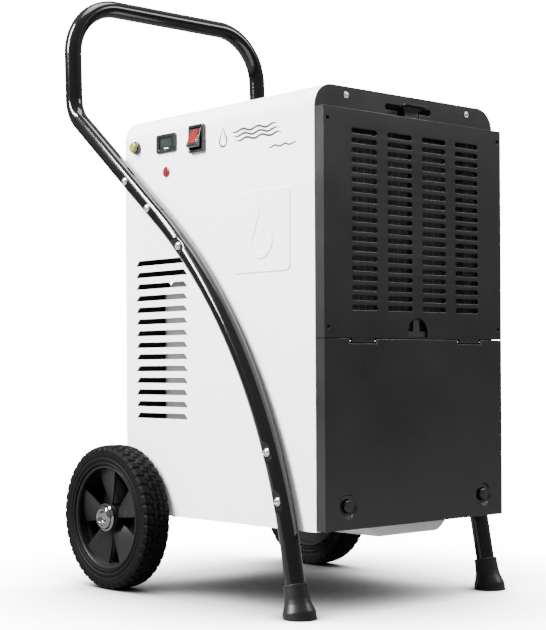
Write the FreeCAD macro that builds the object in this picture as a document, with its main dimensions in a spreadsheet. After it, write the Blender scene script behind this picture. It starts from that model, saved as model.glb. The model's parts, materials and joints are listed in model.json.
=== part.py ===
"""Commercial dehumidifier on wheels, as a parametric FreeCAD document.

Millimetres, +Z up, +X to the right of somebody who faces the front, front towards -Y.
The origin lies on the floor, under the centre of the machine's bounding box. Every y in the
calls below is measured from the cabinet's front edge, which lies at y = front_plane.
"""
import FreeCAD
import Part
import math
import os
import re

import Sketcher

# Driving dimensions. Each becomes a cell of the spreadsheet, under its own alias.
SIZES = {
    "front_plane": -255, "half_width": 170, "depth": 400, "top": 673.5, "bottom": 108.5,
    "corner": 30, "gauge": 1.5, "box_depth": 17, "grille_top": 642.5, "seam": 352.5,
    "flap_low": 110, "flap_high": 351.5, "bend_line": 12,
    "slot_pitch": 12.45, "slot_height": 6.6, "slot_length": 46, "slot_low": 391.3,
    "column_inner": 32.8, "column_outer": 98, "louvre_low": 244.3, "louvre_pitch": 16.7,
    "louvre_height": 7.7, "louvre_front": 256.7, "louvre_rear": 376, "louvre_slant": 7.8,
    "panel_front": 44, "panel_rear": 158, "panel_low": 438.6, "panel_high": 548, "emboss": 1.5,
    "tube_outer": 12.7, "tube_inner": 11.2, "tube_x": 183, "spigot": 11.15, "spigot_bore": 9.7,
    "foot_y": 17, "leg_corner_y": 86, "leg_corner_z": 354.2, "leg_radius": 740,
    "arm_corner_y": 511, "arm_corner_z": 697.7, "arm_radius": 50, "bar_y": 517, "bar_z": 867.3,
    "bar_radius": 80, "joint_reach": 272, "spigot_reach": 104,
    "foot_low": 21.5, "foot_neck": 15.6, "foot_height": 44,
    "wheel_y": 392, "wheel_radius": 103, "tyre_near": 174.5, "tyre_far": 217.5,
    "rim_radius": 73, "rim_near": 177, "rim_far": 214, "hub_radius": 19, "axle_radius": 5,
    "hub_bore": 5.05, "collar_radius": 9, "cap_radius": 20, "cap_height": 7, "tread": 8,
    "hinge_y": -14.8, "hinge_z": 348.6, "pin_radius": 1.1, "knuckle_bore": 1.16,
    "knuckle": 2.2, "notch_near": 78, "notch_far": 126, "notch_depth": 6,
    "catch_x": 130, "catch_z": 140, "catch_ring": 15.5, "catch_knob": 8.5,
    "tank_half": 112, "tank_front": 3, "tank_rear": 203, "tank_low": 112.1, "tank_high": 262,
    "tank_wall": 2.5, "keel_top": 78, "keel_foot": 61, "keel_shoulder": 109.5, "keel_low": 94,
    "float_x": 85, "float_y": 165, "float_radius": 20, "guide_radius": 4, "guide_bore": 4.3,
    "pan_low": 110, "shelf": 300, "bulkhead": 214, "fan_plane": 126, "fan_height": 490,
    "fan_opening": 112, "fan_radius": 104, "fan_hub": 32, "shaft_radius": 4, "shaft_bore": 4.05,
    "outlet_radius": 105, "filter_half": 145, "filter_low": 354, "filter_high": 640,
    "filter_front": -14, "filter_rear": -6, "tab_half": 22, "tab_low": 657, "tab_front": -20,
    "switch_y": 231.8, "switch_z": 628.8, "switch_half": 16.1, "switch_rise": 19.1,
    "rocker_reach": 14.6, "rocker_half": 12, "rocker_axis": 172,
    "strike_high": 156, "line_low": 340, "line_high": 362, "bolt_radius": 3,
    "button_y": 371.5, "button_z": 631.7, "button_radius": 7, "collar_outer": 9,
    "lamp_y": 302.8, "lamp_z": 590.6, "lamp_radius": 7.5, "meter_y": 301.2, "meter_z": 630.5,
    "meter_half": 22.4, "meter_rise": 13.2, "compressor_x": -75, "compressor_y": 333,
    "compressor_radius": 60, "compressor_top": 426, "coil_half": 125, "coil_low": 325, "coil_high": 628,
}
LOUVRES = 14
SLOT_ROWS = 19
VANES = 5
BLADES = 5
TREAD_BLOCKS = 36
BOLT_HEIGHTS = (146, 207, 483, 539, 582)

doc = FreeCAD.newDocument("dehumidifier")
sheet = doc.addObject("Spreadsheet::Sheet", "sizes")
for row, (alias, value) in enumerate(SIZES.items(), 1):
    sheet.set(f"A{row}", alias)
    sheet.set(f"B{row}", str(value))
    sheet.setAlias(f"B{row}", alias)
doc.recompute()

X, Y, Z = FreeCAD.Vector(1, 0, 0), FreeCAD.Vector(0, 1, 0), FreeCAD.Vector(0, 0, 1)
TURNS = {"x": FreeCAD.Rotation(Y, 90), "y": FreeCAD.Rotation(X, -90), "z": FreeCAD.Rotation()}
SUBPARTS = []


def size(alias):
    """Number in the sheet cell with this alias."""
    return float(sheet.get(alias))


def bind(item, prop, text):
    """Tie a property to an expression written with the sheet's aliases."""
    def cell(match):
        return "sizes." + match.group(0) if match.group(0) in SIZES else match.group(0)
    item.setExpression(prop, re.sub(r"[a-z][a-z_]*", cell, str(text)))


def place(item, x, y, z, rotation=FreeCAD.Rotation()):
    """Give an item its rotation, and tie its base point to the sheet."""
    item.Placement = FreeCAD.Placement(FreeCAD.Vector(), rotation)
    bind(item, ".Placement.Base.x", x)
    bind(item, ".Placement.Base.y", f"front_plane + ({y})")
    bind(item, ".Placement.Base.z", z)
    return item


def subpart(label, item):
    """Name an item as one of the machine's pieces."""
    item.Label = label
    SUBPARTS.append(item)
    return item


def box(x0, x1, y0, y1, z0, z1):
    """Block between two corners."""
    item = doc.addObject("Part::Box", "block")
    bind(item, "Length", f"({x1}) - ({x0})")
    bind(item, "Width", f"({y1}) - ({y0})")
    bind(item, "Height", f"({z1}) - ({z0})")
    return place(item, x0, y0, z0)


def rod(axis, radius, x, y, z, length):
    """Cylinder that starts at a point and runs along +x, +y or +z."""
    item = doc.addObject("Part::Cylinder", "rod")
    bind(item, "Radius", radius)
    bind(item, "Height", length)
    return place(item, x, y, z, TURNS[axis])


def cone(axis, radius, end_radius, x, y, z, length):
    """Tapered rod."""
    item = doc.addObject("Part::Cone", "cone")
    bind(item, "Radius1", radius)
    bind(item, "Radius2", end_radius)
    bind(item, "Height", length)
    return place(item, x, y, z, TURNS[axis])


def ring(axis, radius, wire, x, y, z):
    """Torus about an axis."""
    item = doc.addObject("Part::Torus", "ring")
    bind(item, "Radius1", radius)
    bind(item, "Radius2", wire)
    return place(item, x, y, z, TURNS[axis])


def join(*pieces):
    """One solid from several that touch."""
    item = doc.addObject("Part::MultiFuse", "joined")
    item.Shapes = list(pieces)
    item.Refine = True
    return item


def together(*pieces):
    """Several separate solids of one kind in one piece."""
    item = doc.addObject("Part::Compound", "set")
    item.Links = list(pieces)
    return item


def cut(base, *tools):
    """Base without its tools."""
    item = doc.addObject("Part::Cut", "trimmed")
    item.Base = base
    item.Tool = tools[0] if len(tools) == 1 else together(*tools)
    return item


def own(shape, x="0", y="0", z="0"):
    """A shape made by Part's own functions, placed by the sheet."""
    item = doc.addObject("Part::Feature", "shape")
    item.Shape = shape
    return place(item, x, y, z)


def outline(body, plane, corners, name):
    """Closed sketch on one of the body's planes, every corner tied to the sheet."""
    sketch = body.newObject("Sketcher::SketchObject", name)
    origin = [feature for feature in body.Origin.OriginFeatures if feature.Role == plane]
    sketch.AttachmentSupport = (origin[0], [""])
    sketch.MapMode = "FlatFace"
    points = [FreeCAD.Vector(evaluate(u), evaluate(v), 0) for u, v in corners]
    for index, point in enumerate(points):
        sketch.addGeometry(Part.LineSegment(point, points[(index + 1) % len(points)]), False)
    for index in range(len(points)):
        after = (index + 1) % len(points)
        sketch.addConstraint(Sketcher.Constraint("Coincident", index, 2, after, 1))
    for index, (u, v) in enumerate(corners):
        for kind, text, point in (("DistanceX", u, points[index].x), ("DistanceY", v, points[index].y)):
            number = sketch.addConstraint(Sketcher.Constraint(kind, -1, 1, index, 1, point))
            sketch.renameConstraint(number, f"{kind[-1].lower()}_{'abcdefghijklmnopqrstuvwxyz'[index]}")
            bind(sketch, f"Constraints.{kind[-1].lower()}_{'abcdefghijklmnopqrstuvwxyz'[index]}", text)
    return sketch


def evaluate(text):
    """Value of an expression written with the sheet's aliases."""
    cell = doc.getObject("sizes")
    return float(cell.evalExpression(re.sub(r"[a-z][a-z_]*", lambda m: "sizes." + m.group(0), str(text))))


def plate(corners, plane, start, length):
    """Body padded from an outline: start and length run along the plane's own normal."""
    body = doc.addObject("PartDesign::Body", "plate")
    sketch = outline(body, plane, corners, "profile")
    bind(sketch, ".AttachmentOffset.Base.z", start)
    pad = body.newObject("PartDesign::Pad", "pad")
    pad.Profile = sketch
    bind(pad, "Length", length)
    sketch.Visibility = False
    return body


def turned(corners, axis="V_Axis"):
    """Body turned about the vertical axis of its own XZ sketch."""
    body = doc.addObject("PartDesign::Body", "turned")
    sketch = outline(body, "XZ_Plane", corners, "profile")
    spin = body.newObject("PartDesign::Revolution", "spin")
    spin.Profile = sketch
    spin.ReferenceAxis = (sketch, [axis])
    spin.Angle = 360
    sketch.Visibility = False
    return body


def round_edges(base, radius, choose):
    """Fillet the edges of a base that the test picks."""
    doc.recompute()
    item = doc.addObject("Part::Fillet", "rounded")
    item.Base = base
    item.Edges = [(index, radius, radius) for index, edge in enumerate(base.Shape.Edges, 1) if choose(edge)]
    return item


def along(edge, direction):
    """True for a straight edge parallel to a direction."""
    ends = edge.Vertexes
    if len(ends) != 2 or not isinstance(edge.Curve, Part.Line):
        return False
    return (ends[1].Point - ends[0].Point).cross(direction).Length < 1e-6


def cabinet_slab(y0, y1, z0, inset):
    """Slab across the cabinet whose top corners follow the shell, a little inside it."""
    blank = box(f"{inset} - half_width", f"half_width - {inset}", y0, y1, z0, f"top - {inset}")
    high = size("top") - inset
    radius = size("corner") - inset
    return round_edges(blank, radius, lambda edge: along(edge, Y) and edge.CenterOfMass.z > high - 1)


# ---------------------------------------------------------------- tubes

def bent_run(points, radii, radius, bore):
    """Round tube along straight runs joined by tangent arcs; bore 0 makes it solid."""
    start = points[0]
    heading = (points[1] - start).normalize()
    pieces = []

    def section():
        face = Part.Face(Part.Wire(Part.makeCircle(radius, start, heading)))
        if bore:
            face = face.cut(Part.Face(Part.Wire(Part.makeCircle(bore, start, heading))))
        return face

    for index in range(1, len(points)):
        if index < len(points) - 1:
            onward = (points[index + 1] - points[index]).normalize()
            turn = heading.getAngle(onward)
            reach = radii[index - 1] * math.tan(turn / 2)
        else:
            reach = 0
        straight = (points[index] - start).Length - reach
        if straight > 1e-6:
            pieces.append(section().extrude(heading * straight))
            start = start + heading * straight
        if reach:
            normal = heading.cross(onward).normalize()
            centre = start + normal.cross(heading) * radii[index - 1]
            pieces.append(section().revolve(centre, normal, math.degrees(turn)))
            start = centre + FreeCAD.Rotation(normal, math.degrees(turn)).multVec(start - centre)
            heading = onward
    solids = [solid for piece in pieces for solid in piece.Solids]
    return solids[0] if len(solids) == 1 else solids[0].multiFuse(solids[1:]).removeSplitter()


def tube_points():
    """Corners of the left side's tube path, from the foot up to the hand bar's corner."""
    side = -size("tube_x")
    return [FreeCAD.Vector(side, size("foot_y"), 0),
            FreeCAD.Vector(side, size("leg_corner_y"), size("leg_corner_z")),
            FreeCAD.Vector(side, size("arm_corner_y"), size("arm_corner_z")),
            FreeCAD.Vector(side, size("bar_y"), size("bar_z"))]


def joint_point(reach):
    """Point on the straight arm, this far below its upper corner."""
    corners = tube_points()
    return corners[2] - (corners[2] - corners[1]).normalize() * reach


def tube_y_at(height):
    """The tube centreline's y at a height, on the leg's arc or on the arm above it."""
    foot, knee, arm = tube_points()[:3]
    lean = math.atan2(knee.y - foot.y, knee.z - foot.z)
    slope = math.atan2(arm.y - knee.y, arm.z - knee.z)
    reach = size("leg_radius") * math.tan((slope - lean) / 2)
    low = knee - (knee - foot).normalize() * reach
    high = knee + (arm - knee).normalize() * reach
    if height > high.z:
        return high.y + (height - high.z) * math.tan(slope)
    angle = math.asin(math.sin(lean) + (height - low.z) / size("leg_radius"))
    return low.y + size("leg_radius") * (math.cos(lean) - math.cos(angle))


def bolt_tools(side, radius, near, far):
    """Rods through the tube at every bolt, from |x| = near to |x| = far."""
    tools = []
    for height in BOLT_HEIGHTS:
        start = FreeCAD.Vector(near * side, tube_y_at(height), height)
        tools.append(Part.makeCylinder(radius, far - near, start, X * side))
    return tools


def flat_tools(side):
    """Discs that press a small flat where the frame bolts' heads seat."""
    seat = size("tube_x") + size("tube_outer") - 1
    tools = []
    for height in BOLT_HEIGHTS[:3]:
        start = FreeCAD.Vector(seat * side, tube_y_at(height), height)
        tools.append(Part.makeCylinder(9.5, 4, start, X * side))
    return tools


def flip(point):
    """Mirror a point to the other side."""
    return FreeCAD.Vector(-point.x, point.y, point.z)


def make_tubes():
    """Handle tube, and the two frame tubes whose swaged tops slide inside it."""
    outer, inner = size("tube_outer"), size("tube_inner")
    foot, knee, arm, bar = tube_points()
    joint = joint_point(size("joint_reach"))
    spigot_end = joint_point(size("joint_reach") - size("spigot_reach"))
    below = joint_point(size("joint_reach") + 3)
    handle_points = [joint, arm, bar, flip(bar), flip(arm), flip(joint)]
    handle_radii = [size("arm_radius"), size("bar_radius"), size("bar_radius"), size("arm_radius")]
    handle = bent_run(handle_points, handle_radii, outer, inner)
    tools = bolt_tools(-1, 3.1, 160, 200) + bolt_tools(1, 3.1, 160, 200)
    subpart("handle_tube", own(handle.cut(Part.makeCompound(tools))))
    for side, name in ((-1, "frame_tube_left"), (1, "frame_tube_right")):
        turn = flip if side > 0 else FreeCAD.Vector
        start = turn(foot + (knee - foot).normalize() * 8)
        leg = bent_run([start, turn(knee), turn(joint)], [size("leg_radius")], outer, inner)
        spigot = bent_run([turn(joint), turn(spigot_end)], [], size("spigot"), size("spigot_bore"))
        shoulder = bent_run([turn(below), turn(joint)], [], outer, size("spigot_bore"))
        tube = leg.multiFuse([shoulder, spigot])
        tools = bolt_tools(side, 3.1, 160, 200) + flat_tools(side)
        subpart(name, own(tube.cut(Part.makeCompound(tools))))


def make_feet():
    """Rubber caps that lean with the legs and stand flat on the floor."""
    foot, knee = tube_points()[:2]
    lean = math.degrees(math.atan2(knee.y - foot.y, knee.z - foot.z))
    floor = box("-260", "260", "-60", "90", "-40", "0")
    for side, name in (("-1", "foot_left"), ("1", "foot_right")):
        cap = turned([("0", "-12"), ("foot_low", "-12"), ("foot_low", "9"), ("foot_neck + 1", "26"),
                      ("foot_neck", "foot_height"), ("tube_outer", "foot_height"),
                      ("tube_outer", "8"), ("0", "8")])
        place(cap, f"{side} * tube_x", "foot_y", "0", FreeCAD.Rotation(X, -lean))
        subpart(name, cut(cap, floor))


# ---------------------------------------------------------------- cabinet

def louvre_tools():
    """Slanted-end slots through one side wall, in a column."""
    tools = []
    for index in range(LOUVRES):
        low = f"louvre_low + {index} * louvre_pitch"
        tool = plate([("louvre_front", low), ("louvre_rear", low),
                      ("louvre_rear - louvre_slant", f"{low} + louvre_height"),
                      ("louvre_front + louvre_slant", f"{low} + louvre_height")],
                     "YZ_Plane", "-5", "10")
        tools.append(tool)
    return tools


def make_shell():
    """Inverted-U sheet cover: walls, louvres, control cut-outs and the pressed panel."""
    outside = cabinet_slab("0", "depth", "bottom", 0)
    inside = cabinet_slab("-1", "depth + 1", "bottom - 1", size("gauge"))
    walls = cut(outside, inside)
    returns = [box("gauge - half_width", "bend_line - half_width", "0", "depth", "bottom", "bottom + gauge"),
               box("half_width - bend_line", "half_width - gauge", "0", "depth", "bottom", "bottom + gauge")]
    pressed = plate([("panel_front", "panel_low"), ("panel_rear", "panel_low"),
                     ("panel_rear", "panel_high"), ("panel_front", "panel_high")],
                    "YZ_Plane", "-half_width - emboss", "emboss")
    place(pressed, "0", "0", "0")
    pressed = round_edges(pressed, 8, lambda edge: along(edge, X))
    hollow = box("-half_width - emboss / 3", "1 - half_width + gauge", "panel_front + 3", "panel_rear - 3",
                 "panel_low + 3", "panel_high - 3")
    openings = [box("-half_width - 5", "5 - half_width", "switch_y - 14", "switch_y + 14",
                    "switch_z - 17", "switch_z + 17"),
                box("-half_width - 5", "5 - half_width", "meter_y - 19", "meter_y + 19",
                    "meter_z - 11", "meter_z + 11"),
                rod("x", "5", "-half_width - 5", "lamp_y", "lamp_z", "10"),
                rod("x", "6", "-half_width - 5", "button_y", "button_z", "10")]
    for side in ("-1", "1"):
        for tool in louvre_tools():
            openings.append(place(tool, f"{side} * half_width", "0", "0"))
    bolts = own(Part.makeCompound(bolt_tools(-1, 3.2, 160, 175) + bolt_tools(1, 3.2, 160, 175)))
    shell = cut(join(walls, pressed, *returns), hollow, bolts, *openings)
    subpart("outer_shell", shell)


def make_base():
    """Floor of the cabinet, open at the front for the tank's keel, with the catches' strike tabs."""
    floor = box("gauge - half_width", "half_width - gauge", "0", "depth - gauge", "pan_low", "pan_low + gauge")
    keel_way = box("-keel_top - 8", "keel_top + 8", "-1", "tank_rear + 8", "pan_low - 1", "pan_low + 3")
    strikes = [box(f"{side}catch_x - 12", f"{side}catch_x + 12", "0", "gauge", "pan_low", "strike_high")
               for side in ("-", "")]
    subpart("base_pan", join(cut(floor, keel_way), *strikes))


def rear_spots():
    """Positions of the rear panel's screws."""
    sides = [(f"{side}158", height) for side in ("-", "") for height in ("125", "320", "630")]
    return sides + [("0", "125"), ("0", "640")]


def make_rear():
    """Rear panel with the round air outlet, and the wire guard over it."""
    slab = cabinet_slab("depth - gauge", "depth", "pan_low + gauge", size("gauge"))
    hole = rod("y", "outlet_radius", "0", "depth - 5", "fan_height", "10")
    gland = rod("y", "8", "-120", "depth - 5", "150", "10")
    threads = [rod("y", "1.9", x, "depth - 5", z, "10") for x, z in rear_spots()]
    subpart("rear_panel", cut(slab, hole, gland, *threads))
    wires = [ring("y", f"{radius}", "1.6", "0", "depth + 2.6", "fan_height")
             for radius in (22, 38, 54, 70, 86, 102)]
    rim = cut(rod("y", "outlet_radius + 9", "0", "depth", "fan_height", "2.6"),
              rod("y", "outlet_radius - 1", "0", "depth - 1", "fan_height", "6"))
    spokes = [box("-2", "2", "depth + 1", "depth + 3", "fan_height - 107", "fan_height + 107"),
              box("-107", "107", "depth + 1", "depth + 3", "fan_height - 2", "fan_height + 2")]
    subpart("outlet_guard", join(rim, *wires, *spokes))


def make_fascia():
    """Black front plate: filter window and the T-shaped finger opening above it."""
    slab = cabinet_slab("-gauge", "0", "seam + 0.5", 0)
    window = box("-135", "135", "-5", "5", "375", "622")
    finger = [box("-40", "40", "-5", "5", "652", "660"), rod("y", "4", "-40", "-5", "656", "10"),
              rod("y", "4", "40", "-5", "656", "10"), box("-21", "21", "-5", "5", "640", "654")]
    threads = [rod("y", "2", f"{side}115.6", "-5", "662", "10") for side in ("-", "")]
    subpart("fascia_plate", cut(slab, window, *finger, *threads))


def slot_tools(y0, depth):
    """Obround slots of the intake, four columns wide."""
    tools = []
    reach = "(slot_length - slot_height) / 2"
    for column in ("-column_outer", "-column_inner", "column_inner", "column_outer"):
        for line in range(SLOT_ROWS):
            height = f"slot_low + {line} * slot_pitch"
            tools.append(box(f"{column} - {reach}", f"{column} + {reach}", y0, f"{y0} + {depth}",
                             f"{height} - slot_height / 2", f"{height} + slot_height / 2"))
            for side in ("-", "+"):
                tools.append(rod("y", "slot_height / 2", f"{column} {side} {reach}", y0, height, depth))
    return tools


def corner_spots():
    """Signs and heights of the grille's four corner screws."""
    return [(side, height) for side in ("-", "") for height in ("366.5", "627")]


def make_grille():
    """Shallow black box in front of the filter, with the flap's two hinge knuckles under it."""
    blank = box("-half_width", "half_width", "-box_depth", "-gauge", "seam", "grille_top")
    hollow = box("gauge - half_width", "half_width - gauge", "gauge - box_depth", "1",
                 "seam + gauge", "grille_top - gauge")
    mouth = box("-filter_half - 4", "filter_half + 4", "gauge - box_depth", "1", "grille_top - 5",
                "grille_top + 5")
    notch = cut(rod("y", "18.6", "0", "-box_depth - 1", "361", "gauge + 2"),
                box("-30", "30", "-30", "5", "300", "352"))
    notch_foot = box("-18.6", "18.6", "-box_depth - 1", "gauge - box_depth + 1", "350", "361")
    tools = [hollow, mouth, notch, notch_foot] + slot_tools("-box_depth - 2", "6")
    for side, height in corner_spots():
        tools.append(rod("y", "2.1", f"{side}163", "-box_depth - 2", height, "6"))
        tools.append(cone("y", "5.2", "4", f"{side}163", "-box_depth - 0.01", height, "1.2"))
    knuckles = []
    for side in ("-", ""):
        middle = f"{side}(notch_near + notch_far) / 2"
        tab = box(f"{middle} - 20", f"{middle} + 20", "-box_depth", "gauge - box_depth", "hinge_z", "seam + 1")
        barrel = rod("x", "knuckle", f"{middle} - 20", "hinge_y", "hinge_z", "40")
        bore = rod("x", "knuckle_bore", f"{middle} - 21", "hinge_y", "hinge_z", "42")
        knuckles.append(cut(join(tab, barrel), bore))
    subpart("intake_grille", join(cut(blank, *tools), *knuckles))


def make_inner_walls():
    """Shelf over the tank, bulkhead behind it, and the fan panel with its inlet ring."""
    shelf = box("gauge - half_width", "half_width - gauge", "1", "bulkhead", "shelf", "shelf + gauge")
    subpart("mid_shelf", cut(shelf, rod("z", "8.2", "0", "60", "shelf - 5", "10")))
    subpart("bay_bulkhead", box("gauge - half_width", "half_width - gauge", "bulkhead", "bulkhead + gauge",
                                "pan_low + gauge", "shelf + gauge"))
    slab = cabinet_slab("fan_plane", "fan_plane + gauge", "shelf + gauge", size("gauge"))
    inlet = rod("y", "fan_opening + 2", "0", "fan_plane", "fan_height", "24")
    hole = rod("y", "fan_opening", "0", "fan_plane - 5", "fan_height", "40")
    lines = [rod("y", "8", "152", "fan_plane - 5", height, "10") for height in ("line_low", "line_high")]
    subpart("fan_panel", cut(join(slab, inlet), hole, *lines))


# ---------------------------------------------------------------- wheels

def make_wheels():
    """Tyres with tread blocks, five-vane rims, axle, its brackets and the chrome caps."""
    middle = "(tyre_near + tyre_far) / 2"
    half = "(tyre_far - tyre_near) / 2"
    for side, hand in ((-1, "left"), (1, "right")):
        turn = FreeCAD.Rotation(Y, 90 * side)
        carcass = turned([("rim_radius", "tyre_near + 3"), ("rim_radius + 5", "tyre_near"),
                          ("wheel_radius - 12", "tyre_near"), ("wheel_radius - 2.5", "tyre_near + 7"),
                          ("wheel_radius - 2.5", "tyre_far - 7"), ("wheel_radius - 12", "tyre_far"),
                          ("rim_radius + 5", "tyre_far"), ("rim_radius", "tyre_far - 3")])
        place(carcass, "0", "wheel_y", "wheel_radius", turn)
        blocks = []
        radius = size("wheel_radius")
        width = math.tan(math.radians(360 / TREAD_BLOCKS / 2)) * radius * 1.1
        for line, (inner, outer) in enumerate(((180.5, 194.5), (197.5, 211.5))):
            for index in range(TREAD_BLOCKS):
                angle = 360 / TREAD_BLOCKS * (index + line / 2)
                corner = FreeCAD.Vector(inner, -width / 2, radius - size("tread"))
                block = Part.makeBox(outer - inner, width, size("tread"), corner)
                block.rotate(FreeCAD.Vector(), X, angle)
                blocks.append(block)
        rim_limit = Part.makeCylinder(radius, 60, FreeCAD.Vector(165, 0, 0), X)
        shape = blocks[0].multiFuse(blocks[1:]).common(rim_limit)
        if side < 0:
            shape = shape.mirror(FreeCAD.Vector(), X)
        tread = own(shape, "0", "wheel_y", "wheel_radius")
        subpart(f"tyre_{hand}", join(carcass, tread))
        band = turned([("rim_radius - 5", "rim_near"), ("rim_radius", "rim_near"), ("rim_radius", "rim_far"),
                       ("rim_radius - 5", "rim_far")])
        hub = turned([("hub_bore", "rim_near - 1"), ("hub_radius", "rim_near - 1"),
                      ("hub_radius", "rim_far - 1"), ("hub_bore", "rim_far - 1")])
        back = turned([("hub_radius - 1", "rim_near + 4"), ("rim_radius - 4", "rim_near + 4"),
                       ("rim_radius - 4", "rim_near + 7"), ("hub_radius - 1", "rim_near + 7")])
        place(back, "0", "wheel_y", "wheel_radius", turn)
        place(band, "0", "wheel_y", "wheel_radius", turn)
        place(hub, "0", "wheel_y", "wheel_radius", turn)
        vanes = []
        for index in range(VANES):
            angle = math.radians(360 / VANES * index)
            rays = [FreeCAD.Vector(reach * math.sin(angle + swing), reach * math.cos(angle + swing), 0)
                    for swing, reach in ((-0.52, 70), (-0.26, 71), (0, 71), (0.26, 71), (0.2, 17),
                                         (-0.4, 17))]
            wedge = Part.Face(Part.makePolygon(rays + rays[:1])).extrude(FreeCAD.Vector(0, 0, 6))
            wedge.translate(FreeCAD.Vector(0, 0, 194))
            vanes.append(wedge)
        web = own(Part.makeCompound(vanes))
        place(web, "0", "wheel_y", "wheel_radius", turn)
        subpart(f"rim_{hand}", join(band, hub, back, web))
        cap = turned([("0", "rim_far - 0.5"), ("cap_radius", "rim_far - 0.5"), ("cap_radius", "rim_far + 1.5"),
                      ("cap_radius - 3", "rim_far + 4.5"), ("cap_radius - 8", "rim_far + cap_height"),
                      ("0", "rim_far + cap_height")])
        place(cap, "0", "wheel_y", "wheel_radius", turn)
        subpart(f"hub_cap_{hand}", cap)
    shaft = rod("x", "axle_radius", "0.5 - rim_far", "wheel_y", "wheel_radius", "2 * rim_far - 1")
    collars = [rod("x", "collar_radius", start, "wheel_y", "wheel_radius", "4.7")
               for start in ("rim_near - 5.8", "1.1 - rim_near")]
    subpart("axle", join(shaft, *collars))
    brackets = []
    for side in ("-", ""):
        ear = box(f"{side}152 - 2", f"{side}152 + 2", "376", "408", "94", "pan_low")
        flange = box(f"{side}145 - 9", f"{side}145 + 9", "376", "398", "pan_low - 1.6", "pan_low")
        bore = rod("x", "axle_radius", f"{side}152 - 5", "wheel_y", "wheel_radius", "10")
        brackets.append(cut(join(ear, flange), bore))
    subpart("axle_brackets", together(*brackets))


# ---------------------------------------------------------------- flap, tank, filter

def make_flap():
    """Black lower cover, hung from two pins under the grille, with two magnet catches."""
    blank = box("-half_width", "half_width", "-box_depth", "-gauge", "flap_low", "flap_high")
    hollow = box("gauge - half_width", "half_width - gauge", "gauge - box_depth", "1",
                 "flap_low + gauge", "flap_high + 5")
    tools = [hollow]
    ears, bores = [], []
    for side in ("-", ""):
        middle = f"{side}(notch_near + notch_far) / 2"
        tools.append(box(f"{middle} - 24", f"{middle} + 24", "-box_depth - 1", "5",
                         "flap_high - notch_depth", "flap_high + 1"))
        tools.append(cone("y", "catch_ring", "catch_ring - 2", f"{side}catch_x", "-box_depth - 0.01",
                          "catch_z", "1"))
        tools.append(rod("y", "catch_knob", f"{side}catch_x", "-box_depth - 5", "catch_z", "10"))
        for edge in (f"{middle} - 27", f"{middle} + 24"):
            ears.append(box(edge, f"{edge} + 3", "gauge - box_depth - 0.5", "hinge_y + 2.5",
                            "hinge_z - 6", "hinge_z + 2.5"))
        bores.append(rod("x", "pin_radius + 0.03", f"{middle} - 28", "hinge_y", "hinge_z", "56"))
    subpart("tank_flap", cut(join(cut(blank, *tools), *ears), *bores))
    pins = [rod("x", "pin_radius", f"{side}(notch_near + notch_far) / 2 - 27", "hinge_y", "hinge_z", "54")
            for side in ("-", "")]
    subpart("flap_hinge_pins", together(*pins))
    catches = []
    for side in ("-", ""):
        stem = rod("y", "catch_knob", f"{side}catch_x", "-box_depth", "catch_z", "box_depth - 0.4")
        head = cone("y", "catch_knob - 2", "catch_knob", f"{side}catch_x", "-box_depth - 2.5", "catch_z", "2.5")
        catches.append(join(stem, head))
    subpart("flap_catches", together(*catches))


def tank_section(inset, high, low_inset):
    """Cross-section of the tank: broad body over a narrow keel."""
    wide = f"tank_half - {inset}"
    return [(f"-({wide})", high), (f"-({wide})", f"tank_low + {inset}"),
            (f"{low_inset} - keel_top", f"tank_low + {inset}"),
            (f"{low_inset} - keel_top", f"keel_shoulder + {inset}"),
            (f"{low_inset} - keel_foot", f"keel_low + {inset}"),
            (f"keel_foot - {low_inset}", f"keel_low + {inset}"),
            (f"keel_top - {low_inset}", f"keel_shoulder + {inset}"),
            (f"keel_top - {low_inset}", f"tank_low + {inset}"),
            (wide, f"tank_low + {inset}"), (wide, high)]


def make_tank():
    """Open condensate tank with a hand bar, a float and the float's guide."""
    outside = plate(tank_section("0", "tank_high", "0"), "XZ_Plane", "-tank_rear", "tank_rear - tank_front")
    inside = plate(tank_section("tank_wall", "tank_high + 5", "tank_wall"), "XZ_Plane",
                   "tank_wall - tank_rear", "tank_rear - tank_front - 2 * tank_wall")
    place(outside, "0", "0", "0")
    place(inside, "0", "0", "0")
    grip = join(box("-60", "60", "14", "24", "tank_high + 4", "tank_high + 10"),
                box("-60", "-50", "tank_front", "24", "tank_high - 12", "tank_high + 10"),
                box("50", "60", "tank_front", "24", "tank_high - 12", "tank_high + 10"))
    guide = rod("z", "guide_radius", "float_x", "float_y", "tank_low + tank_wall",
                "tank_high - tank_low - tank_wall - 4")
    subpart("tank", join(cut(outside, inside), grip, guide))
    block = cut(rod("z", "float_radius", "float_x", "float_y", "tank_low + tank_wall + 0.5", "30"),
                rod("z", "guide_bore", "float_x", "float_y", "tank_low", "50"))
    subpart("tank_float", block)
    subpart("level_switch", box("float_x - 12", "float_x + 12", "tank_rear + 3", "bulkhead", "225", "250"))


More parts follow.
